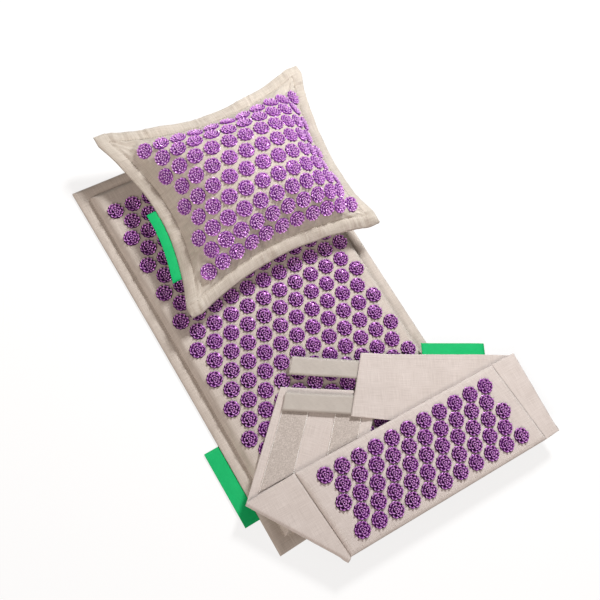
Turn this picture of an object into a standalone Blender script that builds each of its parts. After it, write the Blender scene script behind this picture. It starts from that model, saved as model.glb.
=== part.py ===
"""Acupressure mat set: a linen mat, a plump pillow on its head end and a waist belt folded over its foot end.

All three carry moulded rosettes in a staggered grid. Metres, +Z up. The origin is the centre of the mat's
underside, where it rests. +Y runs along the mat to the head end and +X runs across it.
"""

import math

import bmesh
import bpy
from mathutils import Vector
from mathutils.geometry import delaunay_2d_cdt

# Cloth and clearances shared by all three pieces
CLOTH = 0.0014
CLEAR = 0.0003
WELD = 0.000001

# Rosettes: a six-sided foot, a crown of petal tips, a hollow inside it and a raised bud
PITCH = 0.033
ROSETTE_GAP = 0.0038
PETAL_HEIGHT = 0.0050
HOLLOW_HEIGHT = 0.0022
BUD_HEIGHT = 0.0060
PETALS = 6
FOOT_share = 1.06
HOLLOW_share = 0.52
ROW_STEP = PITCH * math.sqrt(3) / 2
TIP_RADIUS = (PITCH - ROSETTE_GAP) / 2
FOOT_RADIUS = TIP_RADIUS * FOOT_share

# Mat
MAT_COLUMNS = 11
MAT_ROWS = 21
MAT_BORDER = 0.022
MAT_SIDE_INSET = 0.024
MAT_END_INSET = 0.047
BORDER_PUFF = 0.0014
SHOULDER = 0.014
CORE_THICKNESS = 0.0175
MAT_CROWN = 0.002
MAT_DRAW_IN = 0.002
MAT_RING_shares = (0.15, 0.45, 0.85)
MAT_HALF_X = (MAT_COLUMNS - 1) * PITCH / 2 + MAT_SIDE_INSET + MAT_BORDER
MAT_HALF_Y = (MAT_ROWS - 1) * ROW_STEP / 2 + MAT_END_INSET + MAT_BORDER
CORE_FLOOR = CLOTH + CLEAR
MAT_RIM = CLOTH + CLEAR + CLOTH
MAT_TOP = CORE_FLOOR + CORE_THICKNESS + CLEAR + CLOTH
REST_Z = MAT_TOP + MAT_CROWN + max(PETAL_HEIGHT, BUD_HEIGHT) + CLEAR

# Zips: one across the foot end of the mat's underside, one across the middle of the pillow's
MAT_ZIP_INSET = 0.075
MAT_ZIP_LENGTH = 0.28
PILLOW_ZIP_LENGTH = 0.14
ZIP_SLOT = 0.016
TAPE_WIDTH = 0.012
TAPE_END = 0.006
TAPE_THICKNESS = 0.0006
COIL_WIDTH = 0.0020
COIL_HEIGHT = 0.0012
CHAIN_GAP = 0.0018
SLIDER_LENGTH = 0.010
SLIDER_WIDTH = 0.009
SLIDER_PLATE = 0.0005
SLIDER_WEB = 0.0010
SLIDER_END = 0.010
PULL_LENGTH = 0.020
PULL_WIDTH = 0.005
PULL_THICKNESS = 0.0005

# Pillow
PILLOW_COLUMNS = 11
PILLOW_ROWS = 9
PILLOW_MARGIN_X = 0.028
PILLOW_MARGIN_Y = 0.043
PILLOW_FIELD_SHIFT = 0.005
PILLOW_FLANGE = 0.020
PILLOW_RISE = 0.066
PILLOW_DROP = 0.037
PILLOW_CORNER_DROOP = 0.006
PILLOW_SIDE_DRAW = 0.034
PILLOW_END_DRAW = 0.026
PILLOW_SKEW = 0.0065
PILLOW_TAPER = 0.005
BAG_INSET = 0.012
BAG_CLEAR = 0.0012
PILLOW_BEND = 1.04
PILLOW_SEAM_shares = (0.925, 0.968)
PILLOW_RING_shares = (0.4, 0.9)
PILLOW_FLANK_shares = (0.7, 1.3)
PILLOW_REST_shares = (0.49, 0.29)
PILLOW_PLACE_shares = (0.237, 0.618)
PILLOW_YAW = math.radians(-1)
PILLOW_HALF_X = (PILLOW_COLUMNS - 1) * PITCH / 2 + PILLOW_MARGIN_X
PILLOW_HALF_Y = (PILLOW_ROWS - 1) * ROW_STEP / 2 + PILLOW_MARGIN_Y

# Belt
BELT_COLUMNS = 11
BELT_ROWS = 5
BELT_ROW_share = 0.90
BELT_END_MARGIN = 0.038
BELT_SIDE_MARGIN = 0.0266
BELT_PAD = 0.009
BELT_SHOULDER = 0.010
BELT_CROWN = 0.001
TAIL_THICKNESS = 0.0024
FOLD_RADIUS = 0.004
BUTT_GAP = 0.0005
LOOP_THICKNESS = 0.0010
HOOK_THICKNESS = 0.0010
STRAP_THICKNESS = 0.0016
HOOK_INSET = 0.004
HOOK_ROOT = 0.022
BELT_RING_shares = (0.3, 0.78)
BELT_SKEW_share = 0.10
BELT_YAW = math.radians(-2)
BELT_PLACE_shares = (0.36, -0.962)
BELT_ROW_STEP = ROW_STEP * BELT_ROW_share
BELT_HALF_X = (BELT_COLUMNS - 1) * PITCH / 2 + BELT_END_MARGIN
BELT_HALF_Y = (BELT_ROWS - 1) * BELT_ROW_STEP / 2 + BELT_SIDE_MARGIN

# Tail corners, as shares of the belt panel's half length and half width
LEFT_FOLD_shares = ((-1.482, 0.944), (-0.975, -1.026))
LEFT_END_shares = ((-0.800, 2.699), (-0.081, 1.647))
RIGHT_FOLD_shares = ((1.199, 0.994), (1.172, -0.974))
RIGHT_END_shares = ((-0.034, 2.588), (-0.390, 1.478))
RIGHT_LIFT_shares = (0.79, 0.83, 0.87, 0.91, 0.955, 1.0)
LOOP_BAND_shares = ((0.081, 0.338), (0.616, 0.878))
LOOP_END_share = 0.965
STRAP_ROOT_shares = ((0.12, 0.41), (0.65, 0.97))
STRAP_REACH_shares = (-0.498, 0.750)
BELT_LABEL_shares = (0.174, 0.594)

# Bare woven labels
LABEL_THICKNESS = 0.0008
MAT_LABEL_WIDTH = 0.027
PILLOW_LABEL_WIDTH = 0.017
BELT_LABEL_WIDTH = 0.021
MAT_LABEL_shares = (-0.815, -0.435)
PILLOW_LABEL_shares = (-0.64, 0.08)

# Colours and surfaces: base colour, roughness, metallic
FINISHES = {
    "mat_linen": ((0.60, 0.55, 0.50), 0.95, 0.0),
    "pillow_linen": ((0.56, 0.52, 0.45), 0.95, 0.0),
    "belt_linen": ((0.73, 0.67, 0.63), 0.95, 0.0),
    "violet_plastic": ((0.27, 0.06, 0.42), 0.28, 0.0),
    "coconut_fibre": ((0.30, 0.19, 0.10), 1.0, 0.0),
    "husk_bag": ((0.75, 0.71, 0.64), 0.95, 0.0),
    "pad_foam": ((0.80, 0.78, 0.72), 0.9, 0.0),
    "green_label": ((0.01, 0.43, 0.10), 0.7, 0.0),
    "grey_strap": ((0.52, 0.47, 0.43), 0.7, 0.0),
    "grey_loop": ((0.48, 0.44, 0.40), 1.0, 0.0),
    "hook_tape": ((0.45, 0.42, 0.39), 0.6, 0.0),
    "zip_tape": ((0.60, 0.55, 0.50), 0.85, 0.0),
    "zip_metal": ((0.55, 0.55, 0.56), 0.35, 1.0),
}


def finish(name):
    """The material of that name, made the first time it is asked for."""
    if name in bpy.data.materials:
        return bpy.data.materials[name]
    colour, roughness, metallic = FINISHES[name]
    material = bpy.data.materials.new(name)
    material.use_nodes = True
    shader = material.node_tree.nodes["Principled BSDF"]
    shader.inputs["Base Color"].default_value = (*colour, 1)
    shader.inputs["Roughness"].default_value = roughness
    shader.inputs["Metallic"].default_value = metallic
    return material


def place_empty(name, x, y, z, yaw):
    """An empty that carries one of the three pieces of the set."""
    empty = bpy.data.objects.new(name, None)
    empty.location = (x, y, z)
    empty.rotation_euler = (0, 0, yaw)
    bpy.context.scene.collection.objects.link(empty)
    return empty


def make_object(name, bm, materials, parent, origin=(0, 0, 0)):
    """Turns a bmesh into a named object whose own origin is at that point of its parent's frame."""
    origin = Vector(origin)
    for vertex in bm.verts:
        vertex.co -= origin
    bmesh.ops.recalc_face_normals(bm, faces=bm.faces)
    mesh = bpy.data.meshes.new(name)
    bm.to_mesh(mesh)
    bm.free()
    for material in materials:
        mesh.materials.append(finish(material))
    obj = bpy.data.objects.new(name, mesh)
    obj.location = origin
    obj.parent = parent
    bpy.context.scene.collection.objects.link(obj)
    return obj


def ring(half_x, half_y, steps_x, steps_y):
    """Points round a rectangle of flat cloth, anticlockwise from a corner."""
    corners = [(-half_x, -half_y), (half_x, -half_y), (half_x, half_y), (-half_x, half_y)]
    points = []
    for side, steps in enumerate((steps_x, steps_y, steps_x, steps_y)):
        start, end = Vector(corners[side]), Vector(corners[(side + 1) % 4])
        points += [start + (end - start) * (step / steps) for step in range(steps)]
    return points


def lattice(half_x, half_y, steps_x, steps_y):
    """Evenly spaced points inside a rectangle, none of them on its edge."""
    return [
        Vector((half_x * (2 * i / steps_x - 1), half_y * (2 * j / steps_y - 1)))
        for i in range(1, steps_x)
        for j in range(1, steps_y)
    ]


def staggered(columns, rows, row_step):
    """Centres of a staggered grid of rosettes: every second row has one less and sits half a pitch over."""
    centres = []
    for row in range(rows):
        count = columns - row % 2
        y = (row - (rows - 1) / 2) * row_step
        centres += [Vector(((i - (count - 1) / 2) * PITCH, y)) for i in range(count)]
    return centres


def foot(centre):
    """The corners of a rosette's foot, with flat sides towards its neighbours in the row."""
    turns = [math.tau * (k + 0.5) / PETALS for k in range(PETALS)]
    return [centre + FOOT_RADIUS * Vector((math.cos(turn), math.sin(turn))) for turn in turns]


def cut_cloth(rings, dots=(), holes=()):
    """Joins rings and loose points of flat cloth by triangles and leaves the holes open.

    Gives the points, in the order they came in, and the triangles.
    """
    points, edges, hole_faces = [], [], []
    for number, loop in enumerate([*rings, *holes]):
        first = len(points)
        points += loop
        edges += [(first + i, first + (i + 1) % len(loop)) for i in range(len(loop))]
        if number >= len(rings):
            hole_faces.append([first + i for i in range(len(loop))])
    points += dots
    made = delaunay_2d_cdt(points, edges, hole_faces, 1, WELD, True)
    source = [origins[0] for origins in made[3]]
    triangles = [
        [source[corner] for corner in face]
        for face, inside in zip(made[2], made[5])
        if not inside
    ]
    return points, triangles


def add_skin(bm, cut, place, flip):
    """Lays one side of a cloth: each flat point goes where place puts it."""
    points, triangles = cut
    verts = [bm.verts.new(place(p.x, p.y)) for p in points]
    for triangle in triangles:
        corners = [verts[i] for i in triangle]
        bm.faces.new(corners[::-1] if flip else corners)
    return verts


def add_wall(bm, upper, lower, first, count):
    """Closes the edge between two skins along one loop that both share."""
    for i in range(count):
        a, b = first + i, first + (i + 1) % count
        bm.faces.new([upper[a], lower[a], lower[b], upper[b]])


def add_rosette(bm, corners):
    """Raises a six-petalled rosette: tips over the foot's sides, a hollow inside them and a pointed bud."""
    middle = sum((v.co for v in corners), Vector()) / PETALS
    normal = (corners[0].co - corners[3].co).cross(corners[1].co - corners[4].co).normalized()
    reach = sum((v.co - middle).length for v in corners) / PETALS / FOOT_RADIUS
    tips, hollow = [], []
    for k in range(PETALS):
        side = (corners[k].co + corners[(k + 1) % PETALS].co) / 2 - middle
        side = (side - normal * side.dot(normal)).normalized()
        tips.append(bm.verts.new(middle + side * TIP_RADIUS * reach + normal * PETAL_HEIGHT))
        inward = (corners[k].co - middle).normalized() * TIP_RADIUS * HOLLOW_share * reach
        hollow.append(bm.verts.new(middle + inward + normal * HOLLOW_HEIGHT))
    bud = bm.verts.new(middle + normal * BUD_HEIGHT)
    for k in range(PETALS):
        after = (k + 1) % PETALS
        made = [
            bm.faces.new([corners[k], corners[after], tips[k]]),
            bm.faces.new([corners[after], tips[after], tips[k]]),
            bm.faces.new([tips[k], tips[after], hollow[after]]),
            bm.faces.new([tips[k], hollow[after], hollow[k]]),
            bm.faces.new([hollow[k], hollow[after], bud]),
        ]
        for face in made:
            face.material_index = 1


def make_cloth(name, parent, materials, upper, lower, edge_count, top, bottom, centres=(), slot=None):
    """One closed piece of cloth: an upper skin, a lower skin and the walls between them.

    The outermost ring comes first in both cuts. Rosette feet come last in the upper cut, in the order of
    their centres. A slot is the first index of a loop that both cuts leave open, and its length.
    """
    bm = bmesh.new()
    high = add_skin(bm, upper, top, False)
    low = add_skin(bm, lower, bottom, True)
    add_wall(bm, high, low, 0, edge_count)
    if slot:
        add_wall(bm, high, low, *slot)
    first = len(high) - len(centres) * PETALS
    for k in range(len(centres)):
        add_rosette(bm, high[first + k * PETALS : first + (k + 1) * PETALS])
    return make_object(name, bm, materials, parent)


def make_band(name, material, stations, across, thickness, parent):
    """A strip of doubled cloth through stations, each a pair of points, thickened about its middle."""
    bm = bmesh.new()
    rows = []
    for a, b in stations:
        rows.append([bm.verts.new(Vector(a).lerp(Vector(b), i / across)) for i in range(across + 1)])
    for row, after in zip(rows, rows[1:]):
        for i in range(across):
            bm.faces.new([row[i], row[i + 1], after[i + 1], after[i]])
    obj = make_object(name, bm, [material], parent)
    solidify = obj.modifiers.new("thickness", "SOLIDIFY")
    solidify.thickness = thickness
    solidify.offset = 0
    return obj


def make_slab(name, material, outline, low, high, parent, origin=(0, 0, 0)):
    """A flat piece with that outline, extruded between two heights."""
    bm = bmesh.new()
    verts = [bm.verts.new((x, y, low)) for x, y in outline]
    base = bm.faces.new(verts)
    lifted = bmesh.ops.extrude_face_region(bm, geom=[base])["geom"]
    for item in lifted:
        if isinstance(item, bmesh.types.BMVert):
            item.co.z = high
    return make_object(name, bm, [material], parent, origin)


def make_bar(name, material, profile, start, length, parent, origin=(0, 0, 0)):
    """A profile of (y, z) points run along X from start."""
    bm = bmesh.new()
    verts = [bm.verts.new((start, y, z)) for y, z in profile]
    base = bm.faces.new(verts)
    lifted = bmesh.ops.extrude_face_region(bm, geom=[base])["geom"]
    moved = [item for item in lifted if isinstance(item, bmesh.types.BMVert)]
    bmesh.ops.translate(bm, verts=moved, vec=(length, 0, 0))
    return make_object(name, bm, [material], parent, origin)


def arc_share(distance, reach):
    """How far up a rounded shoulder a point has come, from 0 at its foot to 1 at its top."""
    along = min(max(distance / reach, 0), 1)
    return math.sqrt(1 - (1 - along) ** 2)


# Mat


def mat_plan(s, t):
    """Flat cloth to plan: the sides are drawn in a little between the corners."""
    u, v = s / MAT_HALF_X, t / MAT_HALF_Y
    return s - MAT_DRAW_IN * u * (1 - v * v), t - MAT_DRAW_IN * v * (1 - u * u)


def mat_edge(s, t):
    return min(MAT_HALF_X - abs(s), MAT_HALF_Y - abs(t))


def mat_surface(s, t, drop):
    """The mat's upper face, or a face that far below it."""
    x, y = mat_plan(s, t)
    edge = mat_edge(s, t)
    lift = arc_share(edge - MAT_BORDER, SHOULDER)
    crown = MAT_CROWN * (1 - (s / MAT_HALF_X) ** 2) * (1 - (t / MAT_HALF_Y) ** 2)
    z = MAT_RIM + (MAT_TOP - MAT_RIM + crown) * lift
    if 0 < edge < MAT_BORDER:
        z += BORDER_PUFF * math.sin(math.pi * edge / MAT_BORDER)
    return x, y, z - drop


def mat_ring(inset, steps_x=7, steps_y=11):
    return ring(MAT_HALF_X - inset, MAT_HALF_Y - inset, steps_x, steps_y)


def mat_zip_y():
    return MAT_ZIP_INSET - MAT_HALF_Y


def slot_ring(length, y):
    """The opening that a zip closes, in flat cloth."""
    return [point + Vector((0, y)) for point in ring(length / 2, ZIP_SLOT / 2, 1, 1)]


def make_mat():
    """Covers, core, zip and label of the mat."""
    centres = staggered(MAT_COLUMNS, MAT_ROWS, ROW_STEP)
    band = MAT_SIDE_INSET - FOOT_RADIUS
    insets = [0, MAT_BORDER / 2, MAT_BORDER, *(MAT_BORDER + share * band for share in MAT_RING_shares)]
    rings = [mat_ring(inset) for inset in insets]
    edge_count = len(rings[0])
    inner = lattice(MAT_HALF_X - insets[-1], MAT_HALF_Y - insets[-1], 4, 6)
    top_cut = cut_cloth(rings, holes=[foot(centre) for centre in centres])
    under_cut = cut_cloth(rings, inner)
    make_cloth(
        "mat_top_cover",
        None,
        ["mat_linen", "violet_plastic"],
        top_cut,
        under_cut,
        edge_count,
        lambda s, t: mat_surface(s, t, 0),
        lambda s, t: mat_surface(s, t, CLOTH),
        centres,
    )

    core_rings = rings[4:]
    core = make_cloth(
        "mat_core",
        None,
        ["coconut_fibre"],
        cut_cloth(core_rings, inner),
        cut_cloth(core_rings[:1]),
        edge_count,
        lambda s, t: mat_surface(s, t, CLOTH + CLEAR),
        lambda s, t: (*mat_plan(s, t), CORE_FLOOR),
    )

    slot = slot_ring(MAT_ZIP_LENGTH, mat_zip_y())
    sheet = cut_cloth(rings[:1], holes=[slot])
    make_cloth(
        "mat_bottom_cover",
        None,
        ["mat_linen"],
        sheet,
        sheet,
        edge_count,
        lambda s, t: (*mat_plan(s, t), CLOTH),
        lambda s, t: (*mat_plan(s, t), 0),
        slot=(edge_count, len(slot)),
    )
    half_length, middle = mat_plan(MAT_ZIP_LENGTH / 2, mat_zip_y())
    cut_zip_channel("mat", core, half_length, middle, None)
    make_zip("mat", half_length, middle, None)

    stations = []
    for share in MAT_LABEL_shares:
        x, y = mat_plan(-MAT_HALF_X, share * MAT_HALF_Y)
        z = CLOTH + CLEAR / 2
        stations.append(((x - CLEAR, y, z), (x - CLEAR - MAT_LABEL_WIDTH, y, z)))
    make_band("mat_side_label", "green_label", stations, 1, LABEL_THICKNESS, None)


# Zips


def zip_levels():
    """Heights of a zip's layers above the cover's outer face, from the pull up to the roof of its channel."""
    tape = CLOTH + CLEAR
    plate_top = tape - CLEAR
    plate = plate_top - SLIDER_PLATE
    pull_top = plate - CLEAR / 2
    coil_top = tape + TAPE_THICKNESS + COIL_HEIGHT
    inner_plate = coil_top + CLEAR
    return {
        "pull": pull_top - PULL_THICKNESS,
        "pull_top": pull_top,
        "plate": plate,
        "plate_top": plate_top,
        "tape": tape,
        "tape_top": tape + TAPE_THICKNESS,
        "coil_top": coil_top,
        "inner_plate": inner_plate,
        "inner_plate_top": inner_plate + SLIDER_PLATE,
        "channel": inner_plate + SLIDER_PLATE + CLEAR,
    }


def cut_zip_channel(prefix, filling, half_length, middle, place):
    """The channel in the underside of a filling that leaves room for the zip."""
    half_x = half_length + 2 * TAPE_END
    half_y = CHAIN_GAP / 2 + TAPE_WIDTH + CLEAR
    low, high = middle - half_y, middle + half_y
    outline = [(-half_x, low), (half_x, low), (half_x, high), (-half_x, high)]
    cutter = make_slab(prefix + "_zip_channel", "zip_tape", outline, 0, zip_levels()["channel"], place)
    cutter.hide_render = True
    cutter.display_type = "WIRE"
    boolean = filling.modifiers.new("zip channel", "BOOLEAN")
    boolean.operation = "DIFFERENCE"
    boolean.object = cutter


def make_zip(prefix, half_length, middle, place):
    """Two tapes with their coils, a slider that straddles the coils, and its pull."""
    z = zip_levels()
    for end, side in (("foot", -1), ("head", 1)):
        inner = middle + side * CHAIN_GAP / 2
        coil = inner + side * COIL_WIDTH
        outer = inner + side * TAPE_WIDTH
        profile = [
            (inner, z["tape"]),
            (outer, z["tape"]),
            (outer, z["tape_top"]),
            (coil, z["tape_top"]),
            (coil, z["coil_top"]),
            (inner, z["coil_top"]),
        ]
        reach = half_length + TAPE_END
        make_bar(f"{prefix}_zip_tape_{end}", "zip_tape", profile, -reach, 2 * reach, place)

    start = half_length - SLIDER_END - SLIDER_LENGTH
    wide, thin = SLIDER_WIDTH / 2, SLIDER_WEB / 2
    half_profile = [
        (wide, z["plate"]),
        (wide, z["plate_top"]),
        (thin, z["plate_top"]),
        (thin, z["inner_plate"]),
        (wide, z["inner_plate"]),
        (wide, z["inner_plate_top"]),
    ]
    profile = [(middle + y, height) for y, height in half_profile]
    profile += [(middle - y, height) for y, height in reversed(half_profile)]
    origin = (start, middle, z["plate"])
    make_bar(prefix + "_zip_slider", "zip_metal", profile, start, SLIDER_LENGTH, place, origin)

    eye = start + SLIDER_LENGTH
    half = PULL_WIDTH / 2
    outline = [
        (eye, middle - half),
        (eye, middle + half),
        (eye - PULL_LENGTH + half, middle + half),
        (eye - PULL_LENGTH, middle),
        (eye - PULL_LENGTH + half, middle - half),
    ]
    origin = (eye, middle, z["pull_top"])
    make_slab(prefix + "_zip_pull", "zip_metal", outline, z["pull"], z["pull_top"], place, origin)


# Pillow


def pillow_shares(s, t):
    """Shares of the way from the middle to the seam, for a point of the flat cover."""
    along_x = min(max(s / PILLOW_HALF_X, -1), 1)
    along_y = min(max(t / PILLOW_HALF_Y, -1), 1)
    return (
        math.sin(PILLOW_BEND * along_x) / math.sin(PILLOW_BEND),
        math.sin(PILLOW_BEND * along_y) / math.sin(PILLOW_BEND),
    )


def pillow_plan(s, t):
    """Flat cover to plan: the filling pulls the sides in between the corners."""
    u, v = pillow_shares(s, t)
    seam_x = PILLOW_HALF_X * PILLOW_SEAM_shares[0] - PILLOW_SIDE_DRAW * (1 - v * v)
    seam_y = PILLOW_HALF_Y * PILLOW_SEAM_shares[1] - PILLOW_END_DRAW * (1 - u * u)
    over_x = math.copysign(max(abs(s) - PILLOW_HALF_X, 0), s)
    over_y = math.copysign(max(abs(t) - PILLOW_HALF_Y, 0), t)
    lean_x = PILLOW_SKEW * v * (1 + u)
    return u * seam_x + over_x + lean_x, v * seam_y + over_y - PILLOW_TAPER * u * v


def pillow_seam_z(s, t):
    u, v = pillow_shares(s, t)
    return PILLOW_DROP - PILLOW_CORNER_DROOP * u * u * v * v


def pillow_top(s, t):
    """The upper face of the top cover: a plump dome over the seam."""
    u, v = pillow_shares(s, t)
    dome = ((1 - abs(u) ** 2.6) * (1 - abs(v) ** 2.6)) ** 0.85
    x, y = pillow_plan(s, t)
    return Vector((x, y, pillow_seam_z(s, t) + CLEAR / 2 + CLOTH + PILLOW_RISE * dome))


def pillow_bottom(s, t):
    """The lower face of the bottom cover: flat where it rests, and rounded up to the seam."""
    u, v = pillow_shares(s, t)
    dome = min(1, 1.25 * ((1 - abs(u) ** 3) * (1 - abs(v) ** 3)) ** 0.8)
    seam = pillow_seam_z(s, t) - CLEAR / 2 - CLOTH
    x, y = pillow_plan(s, t)
    return Vector((x, y, seam * (1 - dome)))


def inside(surface, s, t, depth):
    """A point that far inside a surface of the pillow, along the surface's own normal."""
    step = PILLOW_FLANGE / 10
    point = surface(s, t)
    across = surface(s + step, t) - surface(s - step, t)
    along = surface(s, t + step) - surface(s, t - step)
    normal = across.cross(along).normalized()
    if surface is pillow_bottom:
        normal = -normal
    return point - normal * depth


def make_pillow():
    """Covers, inner bag and label of the pillow, in the frame of its own resting face."""
    place = place_empty(
        "pillow_place",
        PILLOW_PLACE_shares[0] * MAT_HALF_X,
        PILLOW_PLACE_shares[1] * MAT_HALF_Y,
        REST_Z,
        PILLOW_YAW,
    )
    steps = (12, 10)

    def pillow_ring(inset):
        return ring(PILLOW_HALF_X - inset, PILLOW_HALF_Y - inset, *steps)

    shift = Vector((PILLOW_FIELD_SHIFT, 0))
    centres = [centre + shift for centre in staggered(PILLOW_COLUMNS, PILLOW_ROWS, ROW_STEP)]
    shoulder = PILLOW_MARGIN_X - PILLOW_FIELD_SHIFT - FOOT_RADIUS
    insets = [-PILLOW_FLANGE, 0, *(shoulder * share for share in PILLOW_RING_shares)]
    rings = [pillow_ring(inset) for inset in insets]
    edge_count = len(rings[0])
    inner = lattice(PILLOW_HALF_X - insets[-1], PILLOW_HALF_Y - insets[-1], 10, 8)
    make_cloth(
        "pillow_top_cover",
        place,
        ["pillow_linen", "violet_plastic"],
        cut_cloth(rings, holes=[foot(centre) for centre in centres]),
        cut_cloth(rings, inner),
        edge_count,
        pillow_top,
        lambda s, t: inside(pillow_top, s, t, CLOTH),
        centres,
    )

    flanks = [pillow_ring(PILLOW_MARGIN_Y * share) for share in PILLOW_FLANK_shares]
    rest = ring(PILLOW_HALF_X * PILLOW_REST_shares[0], PILLOW_HALF_Y * PILLOW_REST_shares[1], 4, 2)
    slot = slot_ring(PILLOW_ZIP_LENGTH, 0)
    under = [*rings, *flanks, rest]
    under_cut = cut_cloth(under, holes=[slot])
    make_cloth(
        "pillow_bottom_cover",
        place,
        ["pillow_linen"],
        under_cut,
        under_cut,
        edge_count,
        lambda s, t: inside(pillow_bottom, s, t, CLOTH),
        pillow_bottom,
        slot=(sum(len(loop) for loop in under), len(slot)),
    )

    bag_rings = [pillow_ring(BAG_INSET), *flanks, rest]
    depth = CLOTH + BAG_CLEAR
    bag = make_cloth(
        "pillow_husk_bag",
        place,
        ["husk_bag"],
        cut_cloth(bag_rings[:1], inner),
        cut_cloth(bag_rings),
        edge_count,
        lambda s, t: inside(pillow_top, s, t, depth),
        lambda s, t: inside(pillow_bottom, s, t, depth),
    )
    half_length, middle = pillow_plan(PILLOW_ZIP_LENGTH / 2, 0)
    cut_zip_channel("pillow", bag, half_length, middle, place)
    make_zip("pillow", half_length, middle, place)

    stations = []
    low, high = PILLOW_LABEL_shares
    for k in range(6):
        t = (low + (high - low) * k / 5) * PILLOW_HALF_Y
        x, y = pillow_plan(-PILLOW_HALF_X - PILLOW_FLANGE, t)
        x -= 2 * CLEAR
        z = pillow_seam_z(-PILLOW_HALF_X, t)
        stations.append(((x, y, z), (x - PILLOW_LABEL_WIDTH, y, z)))
    make_band("pillow_side_label", "green_label", stations, 1, LABEL_THICKNESS, place)


# Belt


def belt_levels():
    """Heights of the belt's layers above its lowest face."""
    tail_middle = TAIL_THICKNESS / 2
    lining = TAIL_THICKNESS + CLEAR
    pad = lining + CLOTH + CLEAR
    cover = pad + BELT_PAD + CLEAR
    loop = TAIL_THICKNESS + CLEAR
    hook = loop + LOOP_THICKNESS + CLEAR
    strap = hook + HOOK_THICKNESS + CLEAR
    return {
        "tail_middle": tail_middle,
        "flap_middle": tail_middle + 2 * FOLD_RADIUS,
        "lining": lining,
        "cover_top": cover + CLOTH,
        "loop": loop,
        "hook": hook,
        "strap": strap,
        "end_middle": strap + STRAP_THICKNESS + CLEAR + TAIL_THICKNESS / 2,
    }


def belt_point(shares):
    return Vector((shares[0] * BELT_HALF_X, shares[1] * BELT_HALF_Y))


def belt_plan(s, t):
    """Flat cloth to plan: the panel lies a little askew."""
    return s - BELT_SKEW_share * t, t


def belt_cover(s, t, drop):
    """The upper face of the front panel, or a face that far below it."""
    z = belt_levels()
    rim = z["flap_middle"] + CLEAR / 2 + CLOTH
    lift = arc_share(min(BELT_HALF_X - abs(s), BELT_HALF_Y - abs(t)), BELT_SHOULDER)
    crown = BELT_CROWN * (1 - (t / BELT_HALF_Y) ** 2)
    return *belt_plan(s, t), rim + (z["cover_top"] - rim + crown) * lift - drop


def belt_lining(s, t, rise):
    """The lower face of the lining, or a face that far above it."""
    z = belt_levels()
    rim = z["flap_middle"] - CLEAR / 2 - CLOTH
    lift = arc_share(min(BELT_HALF_X - abs(s), BELT_HALF_Y - abs(t)), BELT_SHOULDER)
    return *belt_plan(s, t), rim + (z["lining"] - rim) * lift + rise


def fold_stations(ends, side):
    """The turn of a tail round its fold: pairs of points on a half circle from the upper layer to the lower."""
    a, b = ends
    along = (a - b).normalized()
    outward = Vector((-along.y, along.x)) * side
    z = belt_levels()
    centre_z = (z["flap_middle"] + z["tail_middle"]) / 2
    stations = []
    for k in range(5):
        turn = math.pi * k / 4
        shift = outward * FOLD_RADIUS * math.sin(turn)
        height = centre_z + FOLD_RADIUS * math.cos(turn)
        stations.append(((*(a + shift), height), (*(b + shift), height)))
    return stations


def make_tail(name, side, fold, end, lifts, rise, place):
    """A tail: from the panel's end out to the fold, round it, and back under the panel to the tail's end."""
    z = belt_levels()
    start_x = side * (BELT_HALF_X + BUTT_GAP)
    top = (*belt_plan(start_x, BELT_HALF_Y), z["flap_middle"])
    bottom = (*belt_plan(start_x, -BELT_HALF_Y), z["flap_middle"])
    stations = [(top, bottom), *fold_stations(fold, side * -1)]
    for lift in lifts:
        a, b = fold[0].lerp(end[0], lift), fold[1].lerp(end[1], lift)
        bend = (lift - lifts[0]) / max(1 - lifts[0], WELD)
        height = z["tail_middle"] + rise * bend * bend * (3 - 2 * bend)
        stations.append(((*a, height), (*b, height)))
    return make_band(name, "belt_linen", stations, 2, TAIL_THICKNESS, place)


def make_loop_strips(fold, end, place):
    """Two fleecy strips along the left tail, from just past the panel's edge to the tail's hem."""
    z = belt_levels()
    edge = BELT_HALF_Y + BUTT_GAP
    for name, band in zip(("belt_loop_strip_outer", "belt_loop_strip_inner"), LOOP_BAND_shares):
        near, far = [], []
        for share in band:
            start, stop = fold[0].lerp(fold[1], share), end[0].lerp(end[1], share)
            near.append(start.lerp(stop, (edge - start.y) / (stop.y - start.y)))
            far.append(start.lerp(stop, LOOP_END_share))
        outline = [near[0], near[1], far[1], far[0]]
        make_slab(name, "grey_loop", outline, z["loop"], z["loop"] + LOOP_THICKNESS, place)


def make_strap(name, hook_name, root_shares, end, place):
    """A grey strap at the right tail's end with a hook patch under it, turning about the tail's end edge."""
    z = belt_levels()
    along = (end[0] - end[1]).normalized()
    outward = Vector((-along.y, along.x))
    reach = belt_point(STRAP_REACH_shares)
    roots = [end[0].lerp(end[1], share) + outward * BUTT_GAP for share in root_shares]
    outline = [roots[0], roots[1], roots[1] + reach, roots[0] + reach]
    top = z["strap"] + STRAP_THICKNESS
    origin = (*((roots[0] + roots[1]) / 2), top)
    make_slab(name, "grey_strap", outline, z["strap"], top, place, origin)

    forward = reach.normalized()
    inner = [roots[0] - along * HOOK_INSET, roots[1] + along * HOOK_INSET]
    near = [point + forward * HOOK_ROOT for point in inner]
    far = [point + reach - forward * HOOK_INSET for point in inner]
    outline = [near[0], near[1], far[1], far[0]]
    make_slab(hook_name, "hook_tape", outline, z["hook"], z["hook"] + HOOK_THICKNESS, place, origin)


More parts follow.
